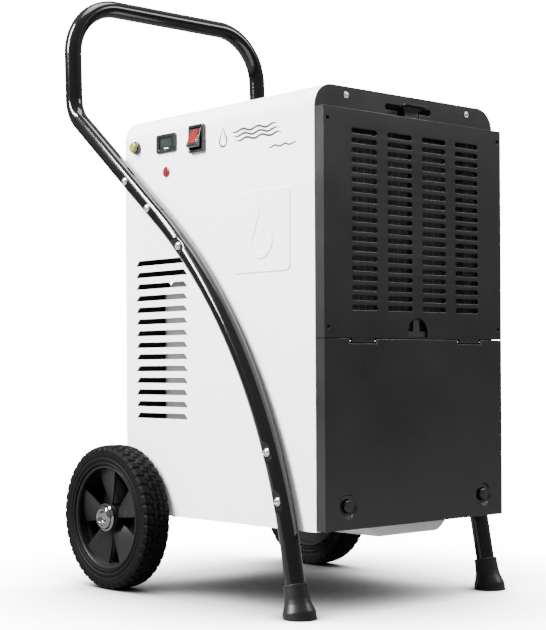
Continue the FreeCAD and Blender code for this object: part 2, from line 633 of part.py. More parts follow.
def make_filter():
    """Filter frame with its bent pull tab, and the mesh held in the frame."""
    blank = box("-filter_half", "filter_half", "filter_front", "filter_rear", "filter_low", "filter_high")
    tools = []
    for side in (-1, 1):
        middle = f"{side} * filter_half / 2"
        tools.append(box(f"{middle} - filter_half / 2 + 6", f"{middle} + filter_half / 2 - 6", "-20", "0",
                         "filter_low + 8", "filter_high - 8"))
    tongue = box("-13", "13", "filter_rear - 2", "filter_rear", "filter_high - 1", "tab_low + 3")
    lip = box("-tab_half", "tab_half", "tab_front", "filter_rear", "tab_low", "tab_low + 3")
    front = size("front_plane") + size("tab_front")
    lip = round_edges(lip, 12, lambda edge: along(edge, Z) and edge.CenterOfMass.y < front + 1)
    subpart("filter_frame", join(cut(blank, *tools), tongue, lip))
    meshes = []
    for side in (-1, 1):
        middle = f"{side} * filter_half / 2"
        meshes.append(box(f"{middle} - filter_half / 2 + 6", f"{middle} + filter_half / 2 - 6", "-11", "-9.5",
                          "filter_low + 8", "filter_high - 8"))
    subpart("filter_mesh", together(*meshes))


# ---------------------------------------------------------------- controls

def make_controls():
    """Hour meter, rocker switch, lamp and button, in the control box behind the left wall."""
    case = box("gauge - half_width + 0.3", "-112", "200", "392", "574", "646.9")
    hollow = box("gauge - half_width - 1", "-113.2", "201.2", "390.8", "575.2", "645.7")
    subpart("control_box", cut(case, hollow))
    subpart("capacitor", rod("y", "15", "-132", "308", "605", "66"))
    face = "-half_width - 2.6"
    bezel = box(face, "-half_width", "meter_y - meter_half", "meter_y + meter_half",
                "meter_z - meter_rise", "meter_z + meter_rise")
    bezel = round_edges(bezel, 3, lambda edge: along(edge, X))
    block = box("-half_width", "-148", "meter_y - 18.9", "meter_y + 18.9", "meter_z - 10.9", "meter_z + 10.9")
    window = ("meter_y - 16", "meter_y + 16", "meter_z - 8.5", "meter_z + 8.5")
    subpart("hour_meter", cut(join(bezel, block), box(f"{face} - 1", f"{face} + 1", *window)))
    subpart("hour_meter_window", box(f"{face} + 0.2", f"{face} + 1", *window))
    frame = box("-half_width - 5", "-half_width", "switch_y - switch_half", "switch_y + switch_half",
                "switch_z - switch_rise", "switch_z + switch_rise")
    frame = round_edges(frame, 3, lambda edge: along(edge, X))
    well = box("-half_width", "-143", "switch_y - 13.9", "switch_y + 13.9",
               "switch_z - 16.9", "switch_z + 16.9")
    pocket = box("-half_width - 6", "-148", "switch_y - rocker_half - 0.4", "switch_y + rocker_half + 0.4",
                 "switch_z - rocker_reach - 0.5", "switch_z + rocker_reach + 0.5")
    pivot = rod("y", "1.56", "-rocker_axis", "switch_y - 13.3", "switch_z", "26.6")
    subpart("switch_bezel", cut(join(frame, well), pocket, pivot))
    wheel = rod("y", "rocker_reach", "-rocker_axis", "switch_y - rocker_half", "switch_z", "2 * rocker_half")
    sector = plate([("5", "-9"), ("-9", "-17"), ("-11.5", "-10.5"), ("-6.5", "0"), ("-3.2", "16"), ("2", "16"),
                    ("5", "9")], "XZ_Plane", "-rocker_half - 1", "2 * rocker_half + 2")
    place(sector, "-rocker_axis", "switch_y", "switch_z")
    rocker = doc.addObject("Part::MultiCommon", "rocker_body")
    rocker.Shapes = [wheel, sector]
    trunnions = rod("y", "1.5", "-rocker_axis", "switch_y - 13.1", "switch_z", "26.2")
    subpart("switch_rocker", join(rocker, trunnions))
    lens = rod("x", "lamp_radius", "-half_width - 1.6", "lamp_y", "lamp_z", "1.6")
    subpart("pilot_lamp", join(lens, rod("x", "4.9", "-half_width", "lamp_y", "lamp_z", "20")))
    collar = join(rod("x", "collar_outer", "-half_width - 5", "button_y", "button_z", "5"),
                  rod("x", "5.9", "-half_width", "button_y", "button_z", "24"))
    cap_way = [rod("x", "button_radius + 0.1", "-half_width - 6", "button_y", "button_z", "5"),
               rod("x", "2.6", "-half_width - 2", "button_y", "button_z", "20")]
    subpart("button_collar", cut(collar, *cap_way))
    cap = join(rod("x", "button_radius", "-half_width - 10", "button_y", "button_z", "5.5"),
               rod("x", "2.5", "-half_width - 5", "button_y", "button_z", "16"))
    subpart("button_cap", cap)


# ---------------------------------------------------------------- refrigeration and fan

def coil(y0, y1):
    """Finned block between two end plates, as one solid."""
    fins = box("-coil_half", "coil_half", y0, y1, "coil_low", "coil_high")
    ends = [box(f"{side}(coil_half + 1) - 1", f"{side}(coil_half + 1) + 1", y0, y1, "shelf + gauge + 2",
                "coil_high + 3")
            for side in ("-", "")]
    return join(fins, *ends)


def make_refrigeration():
    """Two coils and their bends, drip tray, compressor, accumulator and lines."""
    subpart("evaporator", coil("16", "54"))
    subpart("condenser", coil("62", "100"))
    bends = []
    for middle in ("35", "81"):
        for side in ("-", ""):
            for line in range(6):
                height = f"coil_low + 62 + {line} * 44"
                half = ring("y", "11", "4", f"{side}(coil_half + 2)", middle, height)
                keep = box(f"{side}(coil_half + 12) - 10", f"{side}(coil_half + 12) + 10", f"{middle} - 6",
                           f"{middle} + 6", f"{height} - 20", f"{height} + 20")
                bend = doc.addObject("Part::Common", "bend")
                bend.Base = half
                bend.Tool = keep
                bends.append(bend)
    subpart("coil_bends", together(*bends))
    tray = cut(box("-135", "135", "8", "110", "shelf + gauge", "shelf + 20"),
               box("-133", "133", "10", "108", "shelf + gauge + 2", "shelf + 25"),
               rod("z", "6", "0", "60", "shelf", "10"))
    subpart("drip_tray", tray)
    hose = cut(rod("z", "8", "0", "60", "shelf - 18", "18 + gauge"),
               rod("z", "6", "0", "60", "shelf - 20", "30"))
    subpart("drain_hose", hose)
    spot = ("compressor_x", "compressor_y")
    pot = join(rod("z", "compressor_radius", *spot, "140", "compressor_top - 140"),
               cone("z", "compressor_radius", "compressor_radius - 24", *spot, "compressor_top", "30"),
               cone("z", "compressor_radius - 12", "compressor_radius", *spot, "132", "8"),
               box("compressor_x - 58", "compressor_x + 58",
                   "compressor_y - 58", "compressor_y + 58", "132", "136"))
    subpart("compressor", pot)
    mounts = [rod("z", "10", f"compressor_x {u} 46", f"compressor_y {v} 46", "pan_low + gauge",
                  "132 - pan_low - gauge")
              for u in "+-" for v in "+-"]
    subpart("compressor_mounts", together(*mounts))
    subpart("accumulator", join(rod("z", "20", "14", "compressor_y", "172", "104"),
                                box("-15", "0", "compressor_y - 6", "compressor_y + 6", "210", "222")))
    back, low, high = size("compressor_y"), size("line_low"), size("line_high")

    def line(points, radius):
        corners = [FreeCAD.Vector(*point) for point in points]
        return own(bent_run(corners, [16] * (len(corners) - 2), radius, 0))

    subpart("suction_line", line([(14, back, 276), (14, back, low), (152, back, low), (152, 35, low),
                                  (127, 35, low)], 4.5))
    top = size("compressor_top") + 30
    subpart("discharge_line", line([(-75, back, top), (-75, back, top + 24), (152, back, top + 24),
                                    (152, back, high), (152, 81, high), (127, 81, high)], 4))


def make_fan():
    """Fan motor on its strap behind the fan panel, shaft and rotor."""
    motor = join(rod("y", "42", "0", "180", "fan_height", "60"), rod("y", "16", "0", "174", "fan_height", "8"))
    subpart("fan_motor", cut(motor, rod("y", "shaft_bore", "0", "170", "fan_height", "30")))
    strap = [box("-150", "150", "240", "243", "fan_height - 18", "fan_height + 18"),
             box("-150", "-147", "fan_plane + gauge", "243", "fan_height - 18", "fan_height + 18"),
             box("147", "150", "fan_plane + gauge", "243", "fan_height - 18", "fan_height + 18")]
    subpart("motor_bracket", join(*strap))
    subpart("fan_shaft", rod("y", "shaft_radius", "0", "132", "fan_height", "60"))
    hub = cut(rod("y", "fan_hub", "0", "134", "fan_height", "32"),
              rod("y", "shaft_radius", "0", "130", "fan_height", "40"))
    blades = []
    for index in range(BLADES):
        blade = Part.makeBox(54, 2.4, size("fan_radius") - 30, FreeCAD.Vector(-27, -1.2, 28))
        blade.rotate(FreeCAD.Vector(), Z, 28)
        blade.rotate(FreeCAD.Vector(), Y, 360 / BLADES * index)
        blades.append(blade)
    sweep = Part.makeCylinder(size("fan_radius"), 60, FreeCAD.Vector(0, -30, 0), Y)
    vanes = own(Part.makeCompound([blade.common(sweep) for blade in blades]), "0", "150", "fan_height")
    subpart("fan_rotor", join(hub, vanes))


# ---------------------------------------------------------------- small hardware

def screw(axis_y, x, z, head, shank, length):
    """Round-headed screw that points to +y, its head's seat at axis_y."""
    dome = round_dome(head, x, axis_y, z)
    return join(dome, rod("y", shank, x, axis_y, z, length))


def round_dome(head, x, seat, z):
    """Low domed head in front of its seat."""
    return cone("y", f"{head} * 0.6", head, x, f"{seat} - {head} * 0.6", z, f"{head} * 0.6")


def make_hardware():
    """Bolts and nuts of the tubes, panel screws, gland and cord hooks."""
    bolts, nuts = [], []
    seat = size("tube_x") + size("tube_outer")
    for side in (-1, 1):
        for index, height in enumerate(BOLT_HEIGHTS):
            head_x = seat - 1 if index < 3 else seat
            start = FreeCAD.Vector(head_x * side, tube_y_at(height), height)
            inward = X * -side
            head = Part.makeCylinder(4.8, 1.6, start, X * side)
            crown = Part.makeCone(4.8, 3, 1.6, start + X * side * 1.6, X * side)
            shank = Part.makeCylinder(size("bolt_radius"), head_x - 161, start, inward)
            bolts.append(head.multiFuse([crown, shank]))
            face = FreeCAD.Vector((size("half_width") - size("gauge")) * side, tube_y_at(height), height)
            turns = [k * math.pi / 3 for k in range(7)]
            corners = [face + FreeCAD.Vector(0, 5.6 * math.cos(a), 5.6 * math.sin(a)) for a in turns]
            nut = Part.Face(Part.makePolygon(corners)).extrude(inward * 5)
            nuts.append(nut.cut(Part.makeCylinder(size("bolt_radius"), 12, face + X * side * 3, inward)))
    subpart("frame_bolts", own(Part.makeCompound(bolts)))
    subpart("frame_nuts", own(Part.makeCompound(nuts)))
    subpart("fascia_screws", together(*[screw("-gauge", f"{side}115.6", "662", "4.6", "2", "1.5")
                                        for side in ("-", "")]))
    sunk = []
    for side, height in corner_spots():
        head = cone("y", "4.6", "4.1", f"{side}163", "-box_depth + 0.35", height, "0.8")
        sunk.append(join(head, rod("y", "2", f"{side}163", "-box_depth + 1", height, "box_depth - gauge - 1")))
    subpart("grille_screws", together(*sunk))
    backs = [join(cone("y", "4", "2.4", x, "depth", z, "2.4"), rod("y", "1.9", x, "depth - gauge", z, "gauge"))
             for x, z in rear_spots()]
    subpart("rear_screws", together(*backs))
    gland = join(rod("y", "11", "-120", "depth", "150", "6"),
                 cone("y", "9", "7", "-120", "depth + 6", "150", "12"),
                 rod("y", "7.9", "-120", "depth - 8", "150", "8"))
    subpart("cable_gland", cut(gland, rod("y", "4", "-120", "depth - 10", "150", "40")))
    hooks = [join(rod("y", "6", "70", "depth", height, "26"),
                  box("64", "76", "depth + 22", "depth + 26", low, f"{low} + 34"))
             for height, low in (("300", "294"), ("200", "172"))]
    subpart("cord_hooks", together(*hooks))


def main():
    """Build every piece, check it, and write it to its own file."""
    make_shell()
    make_base()
    make_rear()
    make_fascia()
    make_grille()
    make_inner_walls()
    make_tubes()
    make_feet()
    make_wheels()
    make_flap()
    make_tank()
    make_filter()
    make_controls()
    make_refrigeration()
    make_fan()
    make_hardware()
    doc.recompute()
    for item in doc.Objects:
        if "Invalid" in item.State or "Error" in item.State:
            raise SystemExit(f"{item.Name} failed: {item.State}")
    os.makedirs("parts", exist_ok=True)
    for item in SUBPARTS:
        shape = item.Shape
        if shape.isNull() or not shape.isValid() or shape.Volume <= 0:
            raise SystemExit(f"{item.Label} has no valid solid")
        shape.exportStep(f"parts/{item.Label}.step")
        print(f"{item.Label}: {len(shape.Solids)} solid(s), {shape.Volume / 1000:.2f} cm3")
    print(len(SUBPARTS), "sub-parts")


main()
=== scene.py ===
import json
import math

import bmesh
import bpy
from mathutils import Matrix, Vector


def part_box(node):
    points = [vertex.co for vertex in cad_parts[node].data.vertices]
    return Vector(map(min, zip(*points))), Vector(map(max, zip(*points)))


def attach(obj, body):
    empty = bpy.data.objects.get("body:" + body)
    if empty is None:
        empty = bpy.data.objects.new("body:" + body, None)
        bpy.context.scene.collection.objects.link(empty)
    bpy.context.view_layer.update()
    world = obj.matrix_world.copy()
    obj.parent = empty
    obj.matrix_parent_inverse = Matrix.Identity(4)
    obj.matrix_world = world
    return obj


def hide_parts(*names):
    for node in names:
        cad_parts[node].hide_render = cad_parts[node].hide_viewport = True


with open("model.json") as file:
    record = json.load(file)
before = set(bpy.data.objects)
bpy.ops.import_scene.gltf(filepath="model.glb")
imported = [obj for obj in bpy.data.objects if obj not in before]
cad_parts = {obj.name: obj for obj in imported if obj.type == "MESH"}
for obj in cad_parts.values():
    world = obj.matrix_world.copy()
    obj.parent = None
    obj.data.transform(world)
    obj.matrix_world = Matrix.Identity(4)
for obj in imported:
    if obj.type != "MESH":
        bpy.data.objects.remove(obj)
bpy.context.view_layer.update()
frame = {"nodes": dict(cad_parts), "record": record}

MM = 0.001
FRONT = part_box("outer_shell")[0].y                      # front edge of the cabinet's side walls


# ---------------------------------------------------------------- camera, floor and light

FLOOR_LIT = 0.2                        # how light the floor is to the object
# reach and strength of the painted shadow that the floor shows the camera under the machine
SHADOW_REACH, SHADOW_DEPTH = 0.42, 3.4
WORLD_SIDE, WORLD_UP = (0.4, 0.5), (0.0, 2.0)    # light from left to right, and from below to above
WORLD_SHOWN = 16                       # brightness of surround and floor to the camera


def look(name, position, target, data):
    """Object that looks from its position to its target."""
    item = bpy.data.objects.new(name, data)
    bpy.context.scene.collection.objects.link(item)
    item.location = position
    item.rotation_euler = (Vector(target) - Vector(position)).to_track_quat("-Z", "Y").to_euler()
    return item


def make_camera():
    """Long lens, level, low and to the left of the front, with a hair of roll."""
    lens = bpy.data.cameras.new("camera")
    lens.sensor_width = 36
    lens.lens = 85.14
    lens.shift_y = 0.0829
    azimuth, roll = math.radians(41.61), math.radians(0.31)
    view = Vector((math.sin(azimuth), math.cos(azimuth), 0))
    across = view.cross(Vector((0, 0, 1)))
    up = Vector((0, 0, 1)) * math.cos(roll) + across * math.sin(roll)
    camera = bpy.data.objects.new("camera", lens)
    bpy.context.scene.collection.objects.link(camera)
    right = view.cross(up)
    camera.matrix_world = Matrix((
        (right.x, up.x, -view.x, -1.4474),
        (right.y, up.y, -view.y, -1.6133),
        (right.z, up.z, -view.z, 0.3159),
        (0, 0, 0, 1)))
    bpy.context.scene.camera = camera


def area(name, position, target, width, height, power):
    """Soft rectangular light."""
    light = bpy.data.lights.new(name, "AREA")
    light.shape = "RECTANGLE"
    light.size = width
    light.size_y = height
    light.energy = power
    return look(name, position, target, light)


def node(tree, kind, **values):
    """Shader node with its plain properties and its inputs set."""
    made = tree.nodes.new("ShaderNode" + kind)
    for key, value in values.items():
        label = key.replace("_", " ")
        if label in made.inputs:
            made.inputs[label].default_value = value
        else:
            setattr(made, key, value)
    return made


def join_nodes(tree, *links):
    """Links given as (node, output, node, input)."""
    for source, out, target, into in links:
        tree.links.new(source.outputs[out], target.inputs[into])


def make_floor():
    """White floor without an edge; to the camera it glows white, darkened only by a painted soft shadow under
    the machine, taken from ambient occlusion.
    """
    mesh = bpy.data.meshes.new("floor")
    bm = bmesh.new()
    bmesh.ops.create_circle(bm, cap_ends=True, radius=60, segments=96)
    bm.to_mesh(mesh)
    bm.free()
    floor = bpy.data.objects.new("floor", mesh)
    bpy.context.scene.collection.objects.link(floor)
    material = bpy.data.materials.new("floor_glow_painted_shadow")
    material.use_nodes = True
    tree = material.node_tree
    tree.nodes.clear()
    # painted shadow: ambient occlusion sets the strength of the floor's glow to the camera, so the floor
    # darkens under the machine
    reach = node(tree, "AmbientOcclusion", samples=24, Distance=SHADOW_REACH)
    curve, scale = node(tree, "Math", operation="POWER"), node(tree, "Math", operation="MULTIPLY")
    curve.inputs[1].default_value = SHADOW_DEPTH
    scale.inputs[1].default_value = WORLD_SHOWN
    lit = node(tree, "BsdfDiffuse", Color=(FLOOR_LIT, FLOOR_LIT, FLOOR_LIT, 1))
    # to the camera the floor glows with the painted shadow; other rays meet a plain diffuse floor
    rays, painted_shadow_glow, mix = (node(tree, kind) for kind in ("LightPath", "Emission", "MixShader"))
    join_nodes(tree, (reach, "AO", curve, 0), (curve, "Value", scale, 0), (scale, "Value", painted_shadow_glow, "Strength"),
               (rays, "Is Camera Ray", mix, 0), (lit, "BSDF", mix, 1), (painted_shadow_glow, "Emission", mix, 2),
               (mix, "Shader", node(tree, "OutputMaterial"), "Surface"))
    mesh.materials.append(material)


def make_world():
    """White surround, which as a light is far dimmer than it looks, and fades from above to below."""
    world = bpy.data.worlds.new("surround")
    world.use_nodes = True
    tree = world.node_tree
    place, parts, rays = (node(tree, kind) for kind in ("TexCoord", "SeparateXYZ", "LightPath"))
    sideways, upward = (node(tree, "MapRange", From_Min=-1, To_Min=low, To_Max=high)
                        for low, high in (WORLD_SIDE, WORLD_UP))
    light, choose = node(tree, "Math", operation="MULTIPLY"), node(tree, "Mix", B=WORLD_SHOWN)
    join_nodes(tree, (place, "Generated", parts, "Vector"), (parts, "X", sideways, "Value"),
               (parts, "Z", upward, "Value"), (sideways, "Result", light, 0), (upward, "Result", light, 1),
               (rays, "Is Camera Ray", choose, "Factor"), (light, "Value", choose, "A"),
               (choose, "Result", tree.nodes["Background"], "Strength"))
    tree.nodes["Background"].inputs["Color"].default_value = (1, 1, 1, 1)
    bpy.context.scene.world = world


make_camera()
make_floor()
make_world()
area("key", (-2.6, 1.0, 2.6), (0, 0, 0.45), 0.5, 2.4, 880)
area("top", (0.2, -0.2, 3.2), (0, 0, 0.3), 1.6, 1.6, 130)
area("front", (2.6, -2.4, 2.6), (0, 0, 0.5), 1.6, 1.0, 90)


# ---------------------------------------------------------------- finishes

def finish(name, colour, rough, grain=900, depth=0.00005, tone=0.06, rough_swing=0.08, patch=9,
           metal=0, coat=0, coat_rough=0.1, through=0, extra=None, **sockets):
    """Coloured surface whose tone, roughness and fine relief all vary, from two noises."""
    material = bpy.data.materials.new(name)
    material.use_nodes = True
    tree = material.node_tree
    shader = tree.nodes["Principled BSDF"]
    shader.inputs["Metallic"].default_value = metal
    shader.inputs["Coat Weight"].default_value = coat
    shader.inputs["Coat Roughness"].default_value = coat_rough
    shader.inputs["Transmission Weight"].default_value = through
    shader.inputs["IOR"].default_value = 1.5
    for label, value in sockets.items():
        shader.inputs[label.replace("_", " ")].default_value = value
    place = node(tree, "TexCoord")
    broad = node(tree, "TexNoise", Scale=patch, Detail=5.0)
    fine = node(tree, "TexNoise", Scale=grain, Detail=3.0)
    tint = node(tree, "ValToRGB")
    for stop, side in ((0, -1), (1, 1)):
        tint.color_ramp.elements[stop].color = [min(1, max(0, c * (1 + side * tone))) for c in colour] + [1]
        tint.color_ramp.elements[stop].position = 0.3 + 0.4 * stop
    spread = node(tree, "MapRange", From_Min=0.3, From_Max=0.7, To_Min=max(0.02, rough - rough_swing),
                  To_Max=min(1, rough + rough_swing))
    bump = node(tree, "Bump", Strength=1.0, Distance=depth)
    join_nodes(tree, (place, "Object", broad, "Vector"), (place, "Object", fine, "Vector"),
               (broad, "Fac", tint, "Fac"), (tint, "Color", shader, "Base Color"),
               (broad, "Fac", spread, "Value"), (spread, "Result", shader, "Roughness"),
               (fine, "Fac", bump, "Height"), (bump, "Normal", shader, "Normal"))
    if extra:
        extra(tree, shader, place, tint, bump)
    return material


def shade_by(tree, shader, place, tint, pattern, strength):
    """Multiplies the tone by a pattern's."""
    mix = node(tree, "Mix", data_type="RGBA", blend_type="MULTIPLY")
    mix.inputs["Factor"].default_value = strength
    join_nodes(tree, (place, "Object", pattern, "Vector"), (tint, "Color", mix, "A"),
               (pattern, "Color", mix, "B"), (mix, "Result", shader, "Base Color"))


def spangle(tree, shader, place, tint, bump):
    """Crystal facets of hot-dip zinc, in tone."""
    shade_by(tree, shader, place, tint, node(tree, "TexVoronoi", Scale=160.0), 0.25)


def stripes(axis, pitch, strength):
    """Fins or ribs: fine bands across one axis, in relief and in tone."""
    def add(tree, shader, place, tint, bump):
        bands = node(tree, "TexWave", wave_type="BANDS", bands_direction=axis)
        bands.inputs["Scale"].default_value = 2 * math.pi / pitch / 20
        shade_by(tree, shader, place, tint, bands, strength)
        join_nodes(tree, (bands, "Fac", bump, "Height"))
    return add


FINISH = {
    "cabinet_white": finish("white_powder_coat", (0.80, 0.80, 0.795), 0.42, grain=700, depth=0.00004,
                            tone=0.012, rough_swing=0.05, coat=0.15, coat_rough=0.3),
    "front_black": finish("black_powder_coat", (0.004, 0.004, 0.0042), 0.3, grain=1200, depth=0.00003,
                          tone=0.12, rough_swing=0.05, Specular_IOR_Level=0.5),
    "tube_black": finish("black_gloss_enamel", (0.002, 0.002, 0.002), 0.12, grain=300, depth=0.00002,
                         tone=0.15, rough_swing=0.03, Specular_IOR_Level=0.3),
    "galvanised": finish("galvanised_sheet", (0.55, 0.56, 0.57), 0.38, metal=1, tone=0.08, extra=spangle),
    "zinc_fastener": finish("bright_zinc", (0.72, 0.72, 0.70), 0.22, metal=1, grain=2500, depth=0.00001,
                            tone=0.08, patch=200),
    "black_fastener": finish("blackened_steel", (0.02, 0.02, 0.021), 0.4, metal=0.6, patch=200),
    "foot_rubber": finish("foot_rubber", (0.003, 0.003, 0.003), 0.42, grain=1500, depth=0.00006, tone=0.15,
                          Specular_IOR_Level=0.3),
    "tyre_rubber": finish("tyre_rubber", (0.0014, 0.0014, 0.0014), 0.6, grain=1100, depth=0.0001, tone=0.2,
                          patch=25, Specular_IOR_Level=0.06),
    "rim_plastic": finish("rim_plastic", (0.004, 0.004, 0.0042), 0.4, grain=1400, depth=0.00005, tone=0.1,
                          Specular_IOR_Level=0.16),
    "cap_chrome": finish("chrome", (0.20, 0.20, 0.205), 0.04, metal=1, grain=400, depth=0.00001, tone=0.03,
                         rough_swing=0.03, patch=60),
    "tank_plastic": finish("tank_plastic", (0.78, 0.79, 0.79), 0.35, through=0.15, depth=0.00004, tone=0.02,
                           Subsurface_Weight=0.2, Subsurface_Scale=0.01),
    "float_plastic": finish("float_foam", (0.75, 0.74, 0.68), 0.7, grain=1600, depth=0.0001),
    "switch_plastic": finish("switch_plastic", (0.002, 0.002, 0.0021), 0.3, grain=1800, depth=0.00003,
                             tone=0.1, patch=60),
    "rocker_red": finish("rocker_red", (0.16, 0.0015, 0.004), 0.12, tone=0.2, patch=120, through=0.25,
                         coat=0.6, coat_rough=0.05),
    "lamp_red": finish("lamp_red", (0.10, 0.001, 0.006), 0.2, tone=0.2, patch=160, coat=0.4),
    "button_yellow": finish("button_yellow", (0.16, 0.155, 0.004), 0.35, tone=0.06, patch=120),
    "window_clear": finish("display_glass", (0.004, 0.006, 0.0055), 0.1, tone=0.25, patch=60, coat=0.5,
                           coat_rough=0.04),
    "filter_black": finish("filter_net", (0.004, 0.004, 0.0042), 0.55, grain=2200, tone=0.2, patch=40),
    "coil_fins": finish("coil_fins", (0.20, 0.205, 0.21), 0.35, metal=1, tone=0.08,
                        extra=stripes("X", 0.0022, 0.75)),
    "copper_line": finish("copper", (0.80, 0.36, 0.20), 0.3, metal=1, tone=0.15, patch=30),
    "compressor_grey": finish("compressor_paint", (0.13, 0.13, 0.132), 0.4, grain=400, depth=0.0001),
    "fan_plastic": finish("fan_plastic", (0.05, 0.05, 0.052), 0.45, grain=1500),
    "motor_metal": finish("motor_metal", (0.45, 0.45, 0.46), 0.4, metal=1, grain=900, tone=0.1),
    # near-black finish for the sheets that stand in for the shade inside the cabinet: painted shade
    "painted_shade_black": finish("painted_shade_lining", (0.010, 0.010, 0.010), 0.9, grain=900, depth=0.0004, tone=0.3),
    "print_grey": finish("printed_grey", (0.006, 0.006, 0.0065), 0.45, tone=0.1),
    "print_white": finish("printed_white", (0.8, 0.8, 0.8), 0.5, tone=0.02),
    "display_grey": finish("display_grey", (0.010, 0.014, 0.012), 0.25, tone=0.1, patch=80),
    "hose_clear": finish("hose", (0.62, 0.64, 0.62), 0.3, through=0.3, tone=0.04),
}

for row in frame["record"]["subparts"]:
    mesh = frame["nodes"][row["node"]].data
    mesh.materials.clear()
    mesh.materials.append(FINISH[row["material_slot"]])


# ---------------------------------------------------------------- mesh helpers

def spot(face, a, b, w):
    """Metres from millimetres. Front and rear: x, z and distance before or behind the front edge.
    Left and right: y behind the front edge, z, and distance from the middle."""
    if face == "front":
        return Vector((a * MM, FRONT - w * MM, b * MM))
    if face == "rear":
        return Vector((a * MM, FRONT + w * MM, b * MM))
    side = -1 if face == "left" else 1
    return Vector((side * w * MM, FRONT + a * MM, b * MM))


def mesh_of(bm, name):
    """Object that holds a bmesh, normals out."""
    bmesh.ops.recalc_face_normals(bm, faces=bm.faces)
    mesh = bpy.data.meshes.new(name)
    bm.to_mesh(mesh)
    bm.free()
    piece = bpy.data.objects.new(name, mesh)
    bpy.context.scene.collection.objects.link(piece)
    return piece


def dress(name, bm, body, slot, replaced=(), angle=34, material=None):
    """Object from a bmesh, shaded by angle, finished, and riding on its body."""
    piece = mesh_of(bm, name)
    piece.data.shade_smooth()
    piece.data.set_sharp_from_angle(angle=math.radians(angle))
    piece.data.materials.append(FINISH[material or slot])
    weights = piece.modifiers.new("face_weight", "WEIGHTED_NORMAL")
    weights.keep_sharp = True
    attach(piece, body)
    if replaced:
        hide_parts(*replaced)
    return piece


def arc(cx, cy, radius, start, end, steps):
    """Points on an arc, from one angle in degrees to another."""
    turns = [math.radians(start + (end - start) * k / steps) for k in range(steps + 1)]
    return [(cx + radius * math.cos(t), cy + radius * math.sin(t)) for t in turns]


def oblong(cx, cy, width, height, radius, steps=5):
    """Rectangle with round corners."""
    dx, dy = width / 2 - radius, height / 2 - radius
    return (arc(cx + dx, cy + dy, radius, 0, 90, steps) + arc(cx - dx, cy + dy, radius, 90, 180, steps)
            + arc(cx - dx, cy - dy, radius, 180, 270, steps) + arc(cx + dx, cy - dy, radius, 270, 360, steps))


def circle(cx, cy, radius, steps=32):
    """Closed circle of points."""
    return arc(cx, cy, radius, 0, 360, steps)[:-1]


def add_panel(bm, face, outline, holes, low, high, edge=0.4, steps=1):
    """Flat sheet with holes and rounded rims, from w = low to w = high on one face of the machine."""
    curve = bpy.data.curves.new("panel", "CURVE")
    curve.dimensions = "2D"
    curve.fill_mode = "BOTH"
    curve.extrude = (high - low) / 2 - edge
    curve.bevel_depth = edge
    curve.bevel_resolution = steps
    curve.offset = -edge
    for loop in [outline] + list(holes):
        spline = curve.splines.new("POLY")
        spline.points.add(len(loop) - 1)
        for point, (u, v) in zip(spline.points, loop):
            point.co = (u, v, 0, 1)
        spline.use_cyclic_u = True
    holder = bpy.data.objects.new("panel", curve)
    flat = bpy.data.meshes.new_from_object(holder)
    bpy.data.objects.remove(holder)
    bpy.data.curves.remove(curve)
    middle = (low + high) / 2
    part = bmesh.new()
    part.from_mesh(flat)
    bmesh.ops.remove_doubles(part, verts=part.verts, dist=0.002)
    for vert in part.verts:
        vert.co = spot(face, vert.co.x, vert.co.y, middle + vert.co.z)
    made = bpy.data.meshes.new("part")
    part.to_mesh(made)
    part.free()
    bm.from_mesh(made)
    bpy.data.meshes.remove(made)
    bpy.data.meshes.remove(flat)


def bridge(bm, one, two):
    """Quads between two rings of the same size."""
    for k in range(len(one)):
        after = (k + 1) % len(one)
        bm.faces.new((one[k], one[after], two[after], two[k]))


def add_slab(bm, top, under):
    """Closed shell between two grids of points, given as rows of the same size."""
    upper, lower = ([[bm.verts.new(point) for point in row] for row in grid] for grid in (top, under))
    rows, columns = len(upper) - 1, len(upper[0]) - 1
    for i in range(rows):
        for j in range(columns):
            bm.faces.new((upper[i][j], upper[i][j + 1], upper[i + 1][j + 1], upper[i + 1][j]))
            bm.faces.new((lower[i][j], lower[i + 1][j], lower[i + 1][j + 1], lower[i][j + 1]))
        for j in (0, columns):
            bm.faces.new((upper[i][j], upper[i + 1][j], lower[i + 1][j], lower[i][j]))
    for i in (0, rows):
        for j in range(columns):
            bm.faces.new((upper[i][j], upper[i][j + 1], lower[i][j + 1], lower[i][j]))


def add_lathe(bm, rows, centre, direction, segments=96, closed=False, hexed=()):
    """Turned form: rows of (radius, along) in millimetres about an axis; rows in hexed are six-sided."""
    axis = Vector(direction).normalized()
    across = axis.orthogonal() if abs(axis.z) > 0.9 else Vector((0, 0, 1)).cross(axis)
    across.normalize()
    other = axis.cross(across)
    centre = Vector(centre)
    loops = []
    for number, (radius, along) in enumerate(rows):
        middle = centre + axis * along * MM
        if radius < 1e-6:
            loops.append([bm.verts.new(middle)])
            continue
        loop = []
        for k in range(segments):
            angle = 2 * math.pi * k / segments
            reach = radius * MM
            if number in hexed:
                reach *= math.cos(math.pi / 6) / math.cos(angle % (math.pi / 3) - math.pi / 6)
            loop.append(bm.verts.new(middle + (across * math.cos(angle) + other * math.sin(angle)) * reach))
        loops.append(loop)
    pairs = list(zip(loops, loops[1:]))
    if closed:
        pairs.append((loops[-1], loops[0]))
    for one, two in pairs:
        if len(one) == len(two) == segments:
            bridge(bm, one, two)
        elif len(one) != len(two):
            point, ring = (one[0], two) if len(one) == 1 else (two[0], one)
            for k in range(segments):
                bm.faces.new((point, ring[(k + 1) % segments], ring[k]))


def turned(name, body, slot, replaced, rows, place, axis, segments, closed=False):
    """Piece made of one turned form."""
    bm = bmesh.new()
    add_lathe(bm, rows, place, axis, segments, closed)
    dress(name, bm, body, slot, replaced)


